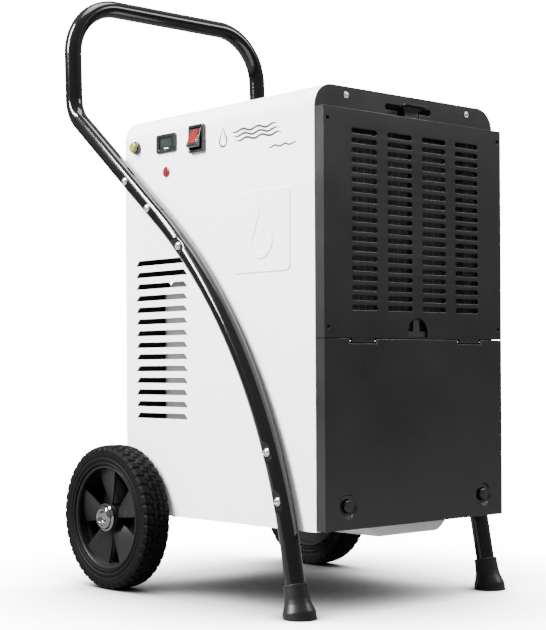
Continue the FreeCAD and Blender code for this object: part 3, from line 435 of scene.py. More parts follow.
def soft(points, radius, steps=3, closed=False):
    """Polyline with its corners rounded, each by no more than its sides allow."""
    out = []
    count = len(points)
    for k, point in enumerate(points):
        here = Vector(point)
        if not closed and k in (0, count - 1):
            out.append(tuple(here))
            continue
        before, after = Vector(points[k - 1]), Vector(points[(k + 1) % count])
        near, far = (before - here), (after - here)
        cutback = min(radius, near.length * 0.45, far.length * 0.45)
        start = here + near.normalized() * cutback
        end = here + far.normalized() * cutback
        for step in range(steps + 1):
            t = step / steps
            out.append(tuple(start * (1 - t) ** 2 + here * 2 * t * (1 - t) + end * t ** 2))
    return out


def add_block(bm, face, u0, u1, v0, v1, w0, w1, edge=0.4, radius=0):
    """Block with rounded rims; radius rounds its four corners too."""
    outline = oblong((u0 + u1) / 2, (v0 + v1) / 2, u1 - u0, v1 - v0, max(radius, edge + 0.05), 4)
    add_panel(bm, face, outline, [], w0, w1, edge, 2)


def add_sweep(bm, line, radius, segments=48, shape=None):
    """Round bar along a line of points, closed at both ends; radius may vary along it."""
    points = [Vector(p) for p in line]
    heading = (points[1] - points[0]).normalized()
    across = heading.orthogonal().normalized()
    loops = []
    for k, point in enumerate(points):
        before = points[max(0, k - 1)]
        after = points[min(len(points) - 1, k + 1)]
        onward = (after - before).normalized()
        turn = heading.rotation_difference(onward)
        across = turn @ across
        across = (across - onward * across.dot(onward)).normalized()
        heading = onward
        other = heading.cross(across)
        reach = radius(k) if callable(radius) else radius
        loop = []
        for j in range(segments):
            angle = 2 * math.pi * j / segments
            place = point + (across * math.cos(angle) + other * math.sin(angle)) * reach * MM
            if shape:
                place = shape(place)
            loop.append(bm.verts.new(place))
        loops.append(loop)
    for one, two in zip(loops, loops[1:]):
        bridge(bm, one, two)
    bm.faces.new(loops[0])
    bm.faces.new(loops[-1][::-1])


# ---------------------------------------------------------------- tube frame

TUBE = 12.7
TUBE_X = 183
LEG = [(17, 0), (86, 354.2), (511, 697.7), (517, 867.3)]      # (y, z) corners of one side's tube
LEG_RADIUS, ARM_RADIUS, BAR_RADIUS = 740, 50, 80
JOINT_REACH = 272
SPACING = 2.5                                  # between two rings of a tube's mesh
BOLT_HEIGHTS = (146, 207, 483, 539, 582)


def bent_line(corners, radii):
    """Points along straight runs and the arcs that join them, evenly spaced."""
    corners = [Vector(c) for c in corners]
    points = [corners[0]]
    start = corners[0]
    for k in range(1, len(corners)):
        heading = (corners[k] - start).normalized()
        if k < len(corners) - 1:
            onward = (corners[k + 1] - corners[k]).normalized()
            turn = heading.angle(onward)
            reach = radii[k - 1] * math.tan(turn / 2)
        else:
            turn = reach = 0
        end = corners[k] - heading * reach
        steps = max(1, round((end - start).length / SPACING))
        points += [start.lerp(end, (n + 1) / steps) for n in range(steps)]
        start = end
        if reach:
            normal = heading.cross(onward).normalized()
            centre = start + normal.cross(heading) * radii[k - 1]
            steps = max(4, round(turn * radii[k - 1] / SPACING))
            arm = start - centre
            points += [centre + Matrix.Rotation(turn * (n + 1) / steps, 3, normal) @ arm
                       for n in range(steps)]
            start = points[-1]
    return points


def side_point(side, corner):
    """Corner of the tube path on one side, in millimetres."""
    return Vector((side * TUBE_X, corner[0], corner[1]))


def in_metres(points):
    """Row-frame points from millimetres whose y is measured from the cabinet's front edge."""
    return [Vector((p.x * MM, FRONT + p.y * MM, p.z * MM)) for p in points]


def leg_line(side):
    """Tube path from the foot to the joint on the arm, and the joint's point."""
    foot, knee, arm = (side_point(side, corner) for corner in LEG[:3])
    joint = arm - (arm - knee).normalized() * JOINT_REACH
    start = foot + (knee - foot).normalized() * 9
    return bent_line([start, knee, joint], [LEG_RADIUS]), joint


def bolt_points(side):
    """Centreline points of one side's tube at the bolts' heights, lowest first."""
    line, joint = leg_line(side)
    line = line + bent_line([joint, side_point(side, LEG[2])], [])
    found = []
    for height in BOLT_HEIGHTS:
        found.append(min(line, key=lambda p: abs(p.z - height)))
    return in_metres(found)


def dimple(side):
    """Function that presses a round seat into the tube's outer face at each frame bolt."""
    seats = bolt_points(side)[:3]
    depth = (TUBE_X + TUBE - 3.0) * MM

    def press(place):
        if place.x * side < (TUBE_X + 2) * MM:
            return place
        for seat in seats:
            off = math.hypot(place.y - seat.y, place.z - seat.z) / MM
            if off < 13:
                fade = min(1, max(0, (off - 6.5) / 6.5))
                fade = fade * fade * (3 - 2 * fade)
                bottom = depth + (abs(place.x) - depth) * fade
                if abs(place.x) > bottom:
                    return Vector((side * bottom, place.y, place.z))
        return place
    return press


def chamfered(count):
    """Radius along a tube whose two ends are slightly rolled in."""
    def radius(k):
        return TUBE - 0.7 if k in (0, count - 1) else TUBE
    return radius


def roll_ends(line):
    """Adds a point close to each end, where the rolled-in edge begins."""
    first = line[0] + (line[1] - line[0]).normalized() * 0.6
    last = line[-1] + (line[-2] - line[-1]).normalized() * 0.6
    return [line[0], first] + line[1:-1] + [last, line[-1]]


def make_tubes():
    """Two curved frame tubes with pressed bolt seats, and the hoop handle that slides over them."""
    for side, hand in ((-1, "left"), (1, "right")):
        line, joint = leg_line(side)
        line = roll_ends(line)
        line[-1] -= (line[-1] - line[-2]).normalized() * 0.25
        bm = bmesh.new()
        add_sweep(bm, in_metres(line), chamfered(len(line)), shape=dimple(side))
        dress(f"leg_tube_{hand}", bm, "cabinet", "tube_black", [f"frame_tube_{hand}"], angle=50)
    joint, arm, bar = leg_line(-1)[1], side_point(-1, LEG[2]), side_point(-1, LEG[3])
    half = [joint, arm, bar]
    corners = half + [Vector((-p.x, p.y, p.z)) for p in reversed(half)]
    line = roll_ends(bent_line(corners, [ARM_RADIUS, BAR_RADIUS, BAR_RADIUS, ARM_RADIUS]))
    for end in (0, -1):
        inward = line[1] - line[0] if end == 0 else line[-2] - line[-1]
        line[end] += inward.normalized() * 0.25
    bm = bmesh.new()
    add_sweep(bm, in_metres(line), chamfered(len(line)))
    dress("hoop_handle", bm, "cabinet", "tube_black", ["handle_tube"], angle=50)


def make_bolts():
    """Domed socket bolts with a flange, in the seats and on the handle joint."""
    bm = bmesh.new()
    for side in (-1, 1):
        for number, place in enumerate(bolt_points(side)):
            seat = TUBE_X + TUBE - (3.0 if number < 3 else 0.15)
            centre = Vector((side * seat * MM, place.y, place.z))
            dome = soft([(0.01, -0.6), (5.6, -0.6), (5.6, 0.7), (4.8, 1.0), (4.1, 2.6), (2.3, 3.2)], 0.7, 3)
            socket = [(2.2, 3.1), (2.1, 1.5), (0, 1.2)]
            rows = dome + socket
            add_lathe(bm, rows, centre, (side, 0, 0), 36, hexed=range(len(dome), len(rows)))
    dress("tube_bolts", bm, "cabinet", "zinc_fastener", ["frame_bolts"])


def make_feet():
    """Flared rubber feet that lean with the legs: collar, waist and flat sole."""
    lean = math.atan2(LEG[1][0] - LEG[0][0], LEG[1][1] - LEG[0][1])
    axis = (0, math.sin(lean), math.cos(lean))
    for side, hand in ((-1, "left"), (1, "right")):
        rows = soft([(0, -6), (21.4, -6), (21.4, 8), (20.4, 11), (17.6, 19), (16.5, 25), (15.8, 40),
                     (15.9, 44), (12.9, 44), (12.8, 34)], 1.6, 3) + [(0, 34)]
        bm = bmesh.new()
        add_lathe(bm, rows, spot("front", side * TUBE_X, 0, -LEG[0][0]), axis, 64)
        for vert in bm.verts:
            vert.co.z = max(0.0, vert.co.z)
        bmesh.ops.remove_doubles(bm, verts=bm.verts, dist=0.00005)
        dress(f"rubber_foot_{hand}", bm, "cabinet", "foot_rubber", [f"foot_{hand}"])


# ---------------------------------------------------------------- wheels

WHEEL = Vector((0, FRONT + 392 * MM, 103 * MM))
LUGS = 44
VANE_COUNT = 5


def zigzag(phase):
    """Triangle wave of period 1 between -1 and 1."""
    return 4 * abs(phase - math.floor(phase + 0.5)) - 1


def ramp(value, low, high):
    """Smooth step from 0 at low to 1 at high."""
    t = min(1, max(0, (value - low) / (high - low)))
    return t * t * (3 - 2 * t)


def tread_depth(phase, across):
    """Groove depth from 0 to 1 at a place on the tread; across runs from -1 to 1."""
    depth = 0
    for middle, lean in ((0.0, 0.10), (-0.46, -0.08), (0.46, 0.08)):
        gap = abs(across - middle - lean * zigzag(phase))
        depth = max(depth, 1 - ramp(gap, 0.03, 0.08))
    row = 0 if across < -0.46 else 1 if across < 0 else 2 if across < 0.46 else 3
    shift = (0.0, 0.5, 0.0, 0.5)[row] + 0.22 * across
    gap = abs(phase + shift - round(phase + shift))
    return max(depth, 1 - ramp(gap, 0.07, 0.14))


def make_tyre(side, hand):
    """Cleated rubber tyre: lugs over the shoulder, two rings on each sidewall."""
    segments, columns = LUGS * 9, 34
    half_tread = 19.0
    middle = (174.5 + 217.5) / 2
    bm = bmesh.new()
    wall = soft([(101.0, half_tread), (96.5, 21.0), (88, 21.3), (86.8, 20.5), (85.2, 20.5), (84.0, 21.4),
                 (81.2, 21.5), (79.5, 20.0), (78.6, 20.0), (77.6, 21.0), (75.2, 21.0), (74.0, 19.0),
                 (73.2, 16.0)], 0.8, 2)
    loops = []
    for radius, along in reversed(wall[1:]):
        loops.append([(radius, -along)] * segments)
    for column in range(columns + 1):
        across = -1 + 2 * column / columns
        crown = 102.9 - 1.9 * abs(across) ** 3
        loop = []
        for k in range(segments):
            cut_in = 1.9 * tread_depth(LUGS * k / segments, across)
            loop.append((crown - cut_in, half_tread * across))
        loops.append(loop)
    for radius, along in wall[1:]:
        loops.append([(radius, along)] * segments)
    shoulder = {}
    for number, loop in enumerate(loops):
        radius, along = loop[0]
        if 93 < radius < 101.4 and abs(along) > half_tread + 0.01:
            edge = 1 if along > 0 else -1
            fade = ramp(radius, 92, 100)
            changed = []
            for k in range(segments):
                cut_in = tread_depth(LUGS * k / segments, edge)
                changed.append((radius - 2.0 * cut_in * fade, along - edge * 1.1 * cut_in * fade))
            shoulder[number] = changed
    for number, changed in shoulder.items():
        loops[number] = changed
    rows = []
    for loop in loops:
        ring = []
        for k, (radius, along) in enumerate(loop):
            angle = 2 * math.pi * k / segments
            ring.append(bm.verts.new((side * (middle + along) * MM, WHEEL.y + radius * math.cos(angle) * MM,
                                      WHEEL.z + radius * math.sin(angle) * MM)))
        rows.append(ring)
    for one, two in zip(rows, rows[1:] + rows[:1]):
        bridge(bm, one, two)
    dress(f"cleated_tyre_{hand}", bm, f"wheel_{hand}", "tyre_rubber", [f"tyre_{hand}"], angle=40)


def make_rim(side, hand):
    """Deep rim with a rolled lip, five slanted vanes and a hub."""
    outward = (side, 0, 0)
    bm = bmesh.new()
    barrel = soft([(73.1, 177), (73.1, 212), (74.4, 213.4), (73.4, 215.0), (70.6, 214.6), (69.4, 211.5),
                   (68.6, 200), (67.4, 197), (67.4, 184), (69, 177)], 0.9, 3, closed=True)
    add_lathe(bm, barrel, (0, WHEEL.y, WHEEL.z), outward, 128, closed=True)
    hub = soft([(5.06, 176.2), (18.6, 176.2), (18.6, 207), (17.0, 209.5), (17, 212.8), (5.06, 212.8)], 0.8, 3,
               closed=True)
    add_lathe(bm, hub, (0, WHEEL.y, WHEEL.z), outward, 64, closed=True)
    back = [(18.2, 181), (68.2, 181), (68.2, 184), (18.2, 184)]
    add_lathe(bm, back, (0, WHEEL.y, WHEEL.z), outward, 64, closed=True)
    for number in range(VANE_COUNT):
        middle = math.radians(-11 + 36 + 360 / VANE_COUNT * number)
        top, under = [], []
        for i in range(9):
            reach = 17.5 + (68.9 - 17.5) * i / 8
            upper, lower = [], []
            for j in range(7):
                swing = (j / 6 - 0.5) * math.radians(47 - 6 * (i / 8))
                angle = middle + swing
                tip = 203.5 - 7.5 * (j / 6 - 0.5) + 2.2 * (i / 8) ** 2
                edge = 0.5 if j in (0, 6) else 0
                for along, row in ((tip - edge, upper), (tip - 3.0 + edge, lower)):
                    row.append((side * along * MM, WHEEL.y - reach * math.cos(angle) * MM,
                                WHEEL.z + reach * math.sin(angle) * MM))
            top.append(upper)
            under.append(lower)
        add_slab(bm, top, under)
    dress(f"vaned_rim_{hand}", bm, f"wheel_{hand}", "rim_plastic", [f"rim_{hand}"])


def make_hub_cap(side, hand):
    """Pressed chrome cap: flat flange, domed shoulder and a sunk middle."""
    rows = soft([(0, 213.5), (19.8, 213.5), (19.9, 214.6), (17.6, 215.2), (17.0, 216.2), (16.4, 218.4),
                 (14.6, 220.2), (12, 220.9), (9.6, 220.2), (8.4, 218.0), (7.2, 216.2), (0, 215.6)], 0.8, 3)
    turned(f"chrome_cap_{hand}", "cabinet", "cap_chrome", [f"hub_cap_{hand}"], rows,
           (0, WHEEL.y, WHEEL.z), (side, 0, 0), 72)


make_tubes()
make_bolts()
make_feet()
for wheel_side, wheel_hand in ((-1, "left"), (1, "right")):
    make_tyre(wheel_side, wheel_hand)
    make_rim(wheel_side, wheel_hand)
    make_hub_cap(wheel_side, wheel_hand)


# ---------------------------------------------------------------- sheet metal

def carve(bm, cutter):
    """The first form without the second, as a new bmesh."""
    base, tool = mesh_of(bm, "carve_base"), mesh_of(cutter, "carve_tool")
    step = base.modifiers.new("carve", "BOOLEAN")
    step.operation = "DIFFERENCE"
    step.solver = "EXACT"
    step.use_self = True
    step.object = tool
    result = bmesh.new()
    evaluated = base.evaluated_get(bpy.context.evaluated_depsgraph_get())
    result.from_mesh(bpy.data.meshes.new_from_object(evaluated))
    for piece in (base, tool):
        bpy.data.objects.remove(piece)
    bmesh.ops.remove_doubles(result, verts=result.verts, dist=0.000005)
    return result


def rectangle(u0, u1, v0, v1):
    """Four corners."""
    return [(u1, v0), (u1, v1), (u0, v1), (u0, v0)]


def drop_outline(cx, cy, height, steps=20):
    """Water drop, point up."""
    radius = height * 0.33
    low = cy - height / 2 + radius
    tip = cy + height / 2
    lean = math.degrees(math.asin(radius / (tip - low)))
    points = arc(cx, low, radius, 180 - lean, 360 + lean, steps)
    return points + [(cx + 0.5, tip - 1.2), (cx, tip), (cx - 0.5, tip - 1.2)]


def shrink(loop, cx, cy, offset):
    """Loop moved towards a middle point by an offset, as for a pressed rim."""
    out = []
    for u, v in loop:
        reach = math.hypot(u - cx, v - cy)
        scale = max(0.0, reach - offset) / reach
        out.append((cx + (u - cx) * scale, cy + (v - cy) * scale))
    return out


def add_press(bm, face, loops):
    """Pressed relief through loops of (outline, w), capped at both ends."""
    rows = [[bm.verts.new(spot(face, u, v, w)) for u, v in loop] for loop, w in loops]
    for one, two in zip(rows, rows[1:]):
        bridge(bm, one, two)
    bm.faces.new(rows[0])
    bm.faces.new(rows[-1])


def louvre(index):
    """Outline of one louvre, in (y, z)."""
    low = 244.3 + 16.7 * index
    return [(256.7, low), (376, low), (368.2, low + 7.7), (264.5, low + 7.7)]


HINGE_Z, HINGE_W = 348.6, 14.8                 # height, and distance before the cabinet's front edge
KNUCKLE, HINGE_BORE, PIN = 2.2, 1.16, 1.1      # radii of the hinge
NOTCH_DEPTH = 6.0
ROCKER_HALF, ROCKER_X = 12.0, -172             # half its width, and its pivot's distance from the middle
FLOAT_SPOT = (85, 0, 165)
FAN_Z = 490
METER = (301.2, 630.5)                         # centres of the controls: y behind the front edge, z
SWITCH = (231.8, 628.8)
LAMP = (302.8, 590.6)
BUTTON = (371.5, 631.7)


def make_shell():
    """Folded cover with rolled corners, louvres cut through both walls and the control openings."""
    outer = [(-158, 108.5), (-170, 108.5), (-170, 643.5)] + arc(-140, 643.5, 30, 180, 90, 12)
    outer += arc(140, 643.5, 30, 90, 0, 12) + [(170, 108.5), (158, 108.5), (158, 110), (168.5, 110)]
    outer += arc(140, 643.5, 28.5, 0, 90, 12) + arc(-140, 643.5, 28.5, 90, 180, 12)
    outer += [(-168.5, 110), (-158, 110)]
    bm = bmesh.new()
    add_panel(bm, "rear", outer, [], 0, 400, 0.35)
    tools = bmesh.new()
    for face in ("left", "right"):
        for index in range(14):
            add_press(tools, face, [(louvre(index), 165), (louvre(index), 175)])
    for (y, z), width, height in ((METER, 38, 22), (SWITCH, 28, 34), (LAMP, 10, 10), (BUTTON, 12, 12)):
        hole = oblong(y, z, width, height, min(width, height) / 2.1 if width < 20 else 2)
        add_press(tools, "left", [(hole, 165), (hole, 175)])
    dress("cabinet_cover", carve(bm, tools), "cabinet", "cabinet_white", ["outer_shell"], angle=20)
    bm = bmesh.new()
    middle = (101, 493.3)
    loops = [(oblong(*middle, 114, 109.4, 9, 7), 169.6)]
    for step in range(9):
        t = step / 8
        inset = 1.9 * t
        lift = 170.0 + 1.5 * ramp(t, 0, 1)
        loops.append((oblong(*middle, 114 - 2 * inset, 109.4 - 2 * inset, 9 - inset * 0.6, 7), lift))
    add_press(bm, "left", loops)
    emblem = drop_outline(*middle, 74, 40)
    core = (middle[0], middle[1] - 9)
    loops = [(emblem, 171.2)]
    for inset, low, lift in ((0, 171.5, 1.2), (8.0, 172.7, -1.0)):
        for step in range(7):
            t = step / 6
            loops.append((shrink(emblem, *core, inset + 1.8 * t), low + lift * ramp(t, 0, 1)))
    add_press(bm, "left", loops)
    dress("pressed_drop_panel", bm, "cabinet", "cabinet_white", angle=60)
    bm = bmesh.new()
    for y, z, x in ((122, 108.6, 161), (300, 108.6, 161), (122, 108.6, -161), (300, 108.6, -161)):
        head = soft([(0, 0), (3.9, 0), (3.7, 1.3), (0, 2.6)], 0.8, 2)
        add_lathe(bm, head, spot("front", x, z, -y), (0, 0, -1), 24)
    dress("base_screws", bm, "cabinet", "black_fastener")


def wavy(start, end, height, swing, period, thick):
    """Outline of a wavy line whose ends taper."""
    top, under = [], []
    for k in range(61):
        t = k / 60
        u = start + (end - start) * t
        v = height + swing * math.sin(2 * math.pi * (u - start) / period)
        half = thick / 2 * min(1, 0.15 + 6 * t, 0.15 + 6 * (1 - t))
        top.append((u, v + half))
        under.append((u, v - half))
    return under + top[::-1]


def make_print():
    """Plain printed graphic on the wall: a drop outline and wavy lines, with no lettering."""
    bm = bmesh.new()
    drop = drop_outline(178, 624, 27, 28)
    add_panel(bm, "left", drop, [shrink(drop, 178, 621, 2.6)], 169.9, 170.12, 0.02, 0)
    for line in range(3):
        add_panel(bm, "left", wavy(60 + 4 * line, 154 + 4 * line, 617.5 + 6 * line, 1.6, 31, 3.0), [],
                  169.9, 170.12, 0.02, 0)
    add_panel(bm, "left", wavy(31, 88, 601, 1.1, 19, 2.4), [], 169.9, 170.12, 0.02, 0)
    dress("printed_waves", bm, "cabinet", "front_black", material="print_grey")


def make_fascia():
    """Black front plate with round top corners and the T-shaped finger opening."""
    outline = arc(140, 643.5, 30, 0, 90, 14) + arc(-140, 643.5, 30, 90, 180, 14) + [(-170, 353), (170, 353)]
    finger = arc(40, 656, 4, -90, 90, 8) + arc(-40, 656, 4, 90, 270, 8)
    finger += [(-21, 652), (-21, 640), (21, 640), (21, 652)]
    window = rectangle(-135, 135, 375, 622)
    bm = bmesh.new()
    add_panel(bm, "front", outline, [finger, window], 0.02, 1.5, 0.5, 2)
    dress("front_plate", bm, "cabinet", "front_black", ["fascia_plate"])


def slot_outline(u, v):
    """Obround intake slot."""
    reach = (46 - 6.6) / 2
    return arc(u + reach, v, 3.3, -90, 90, 7) + arc(u - reach, v, 3.3, 90, 270, 7)


def add_box_sheet(bm, z0, z1, holes, front_outline=None):
    """Shallow folded box: front sheet with holes and the four flanges behind it."""
    add_panel(bm, "front", front_outline or rectangle(-170, 170, z0, z1), holes, 15.5, 17, 0.7, 2)
    ring = [rectangle(-168.5, 168.5, z0 + 1.5, z1 - 1.5)]
    add_panel(bm, "front", rectangle(-170, 170, z0, z1), ring, 1.55, 16.3, 0.05, 0)


def make_grille():
    """Intake grille: four columns of slots, corner screw holes, finger notch and two hinge knuckles."""
    holes = [slot_outline(u, 391.3 + 12.45 * line) for u in (-98, -32.8, 32.8, 98) for line in range(19)]
    holes += [circle(u, v, 2.6, 16) for u in (-163, 163) for v in (366.5, 627)]
    notch = [(-18.6, 352.5)] + arc(0, 361, 18.6, 180, 0, 18) + [(18.6, 352.5)]
    outline = [(170, 352.5), (170, 642.5), (-170, 642.5), (-170, 352.5)] + notch
    bm = bmesh.new()
    add_box_sheet(bm, 352.5, 642.5, holes, outline)
    for middle in (-102, 102):
        add_block(bm, "front", middle - 20, middle + 20, HINGE_Z, 353.5, 15.5, 17, 0.2)
        rows = [(HINGE_BORE, -20), (KNUCKLE, -20), (KNUCKLE, 20), (HINGE_BORE, 20)]
        add_lathe(bm, rows, spot("front", middle, HINGE_Z, HINGE_W), (1, 0, 0), 24, closed=True)
    dress("slotted_grille", bm, "cabinet", "front_black", ["intake_grille"])


def make_flap():
    """Lower cover with hinge notches and dished catch rings, its pins and its two catch buttons."""
    low, high, deep = 110, 351.5, 351.5 - NOTCH_DEPTH
    outline = [(170, low), (170, high)]
    for middle in (102, -102):
        outline += [(middle + 24, high), (middle + 24, deep), (middle - 24, deep), (middle - 24, high)]
    outline += [(-170, high), (-170, low)]
    holes = [circle(u, 140, 15.6, 40) for u in (-130, 130)]
    bm = bmesh.new()
    add_panel(bm, "front", outline, holes, 15.5, 17, 0.7, 2)
    skirt = [(170, low), (170, high), (168.5, high), (168.5, low + 1.5), (-168.5, low + 1.5), (-168.5, high),
             (-170, high), (-170, low)]
    add_panel(bm, "front", skirt, [], 1.55, 16.3, 0.05, 0)
    for u in (-130, 130):
        dish = soft([(16.0, 16.5), (15.2, 16.9), (13.6, 14.6), (9.0, 14.2), (9.0, 13.0), (14.4, 13.2)],
                    0.6, 3, closed=True)
        add_lathe(bm, dish, spot("front", u, 140, 0), (0, -1, 0), 56, closed=True)
    for middle in (-102, 102):
        for edge in (middle - 27, middle + 24):
            add_block(bm, "front", edge, edge + 3, HINGE_Z - 6, HINGE_Z + 2.8, 12.0, 16.2, 0.3)
    dress("lower_flap", bm, "flap", "front_black", ["tank_flap"])
    bm = bmesh.new()
    for middle in (-102, 102):
        rows = soft([(0, -27), (PIN, -27), (PIN, 27), (0, 27)], 0.3, 2)
        add_lathe(bm, rows, spot("front", middle, HINGE_Z, HINGE_W), (1, 0, 0), 20)
    dress("hinge_rods", bm, "flap", "zinc_fastener", ["flap_hinge_pins"])
    bm = bmesh.new()
    for u in (-130, 130):
        rows = soft([(0, 2.0), (8.3, 2.0), (8.3, 17.6), (7.0, 19.3), (0, 19.5)], 1.1, 3)
        add_lathe(bm, rows, spot("front", u, 140, 0), (0, -1, 0), 40)
    dress("catch_buttons", bm, "flap", "switch_plastic", ["flap_catches"])


def make_filter():
    """Filter frame with its folded pull tab, and the woven net held in it."""
    bm = bmesh.new()
    windows = [rectangle(side * 72.5 - 66.5, side * 72.5 + 66.5, 362, 632) for side in (-1, 1)]
    add_panel(bm, "front", rectangle(-145, 145, 354, 640), windows, 6, 14, 0.6, 2)
    path = [(7, 636, 13), (7, 650, 13), (7, 653.2, 13.6), (7.5, 655.8, 15.5), (8.8, 657.6, 18.8),
            (10.8, 658.5, 21), (13, 658.6, 21.8), (15.6, 658.6, 21.4), (17.6, 658.6, 19.6), (19, 658.6, 16),
            (19.6, 658.6, 10)]
    rows = []
    for w, z, half in path:
        rows.append([spot("front", half * (k / 5 - 1), z, w) for k in range(11)])
    under = []
    for number, row in enumerate(rows):
        ahead, behind = path[min(number + 1, len(path) - 1)], path[max(number - 1, 0)]
        along = Vector((ahead[0] - behind[0], ahead[1] - behind[1])).normalized()
        shift = Vector((0, along.y * 1.6 * MM, along.x * 1.6 * MM))
        under.append([place + shift for place in row])
    add_slab(bm, rows, under)
    dress("filter_holder", bm, "filter", "filter_black", ["filter_frame"])
    bm = bmesh.new()
    for side in (-1, 1):
        left, right = side * 72.5 - 66.8, side * 72.5 + 66.8
        step = 2.6
        count = int((right - left) / step)
        for k in range(1, count + 1):
            u = left + k * step
            add_thread(bm, [spot("front", u, 361.8, 10.3), spot("front", u, 632.2, 10.3)], 0.28)
        for k in range(1, int(270 / step) + 1):
            v = 362 + k * step
            add_thread(bm, [spot("front", left, v, 10.75), spot("front", right, v, 10.75)], 0.28)
    dress("filter_net", bm, "filter", "filter_black", ["filter_mesh"])


def add_thread(bm, ends, radius):
    """Thin four-sided thread."""
    start, end = ends
    heading = (end - start).normalized()
    across = heading.orthogonal().normalized() * radius * MM
    other = heading.cross(across)
    near, far = ([bm.verts.new(place + turn) for turn in (across, other, -across, -other)]
                 for place in (start, end))
    bridge(bm, near, far)
    bm.faces.new(near)
    bm.faces.new(far[::-1])


def make_tank():
    """Translucent tank with a rounded keel, rolled rim, hand bar and float guide."""
    left = [(-112, 262), (-112, 112.1), (-78, 112.1), (-76, 107.5), (-61, 94)]
    profile = left + [(-u, v) for u, v in reversed(left)]
    outer = profile[:1] + soft(profile, 9, 5)[1:-1] + profile[-1:]
    bm = bmesh.new()
    add_panel(bm, "rear", outer, [], 3, 203, 2.2, 3)
    left = [(-109.5, 270), (-109.5, 114.6), (-75.5, 114.6), (-73.8, 109.4), (-60, 96.5)]
    inside = left + [(-u, v) for u, v in reversed(left)]
    tool = bmesh.new()
    add_panel(tool, "rear", soft(inside, 8, 5), [], 5.5, 200.5, 1.5, 2)
    bm = carve(bm, tool)
    left = [(-55, 252, 6), (-55, 264, 9), (-52, 268.5, 17), (-46, 269, 19)]
    bar = left + [(0, 269, 19.5)] + [(-u, v, w) for u, v, w in reversed(left)]
    add_sweep(bm, [spot("rear", *point) for point in bar], 3.4, 20)
    guide = soft([(0, 114), (4, 114), (4, 257), (0, 258)], 1, 2)
    add_lathe(bm, guide, spot("rear", *FLOAT_SPOT), (0, 0, 1), 24)
    dress("condensate_tank", bm, "tank", "tank_plastic", ["tank"], angle=30)
    rows = soft([(4.3, 115.2), (20, 115.2), (20, 145), (4.3, 145)], 2.5, 4, closed=True)
    turned("foam_float", "float", "float_plastic", ["tank_float"], rows, spot("rear", *FLOAT_SPOT),
           (0, 0, 1), 40, closed=True)


# ---------------------------------------------------------------- controls

def add_plate(bm, middle, half_width, half_height, low, high, edge, radius=0):
    """Block behind or on the left wall, about the middle of a control."""
    (u, v) = middle
    add_block(bm, "left", u - half_width, u + half_width, v - half_height, v + half_height, low, high, edge,
              radius)


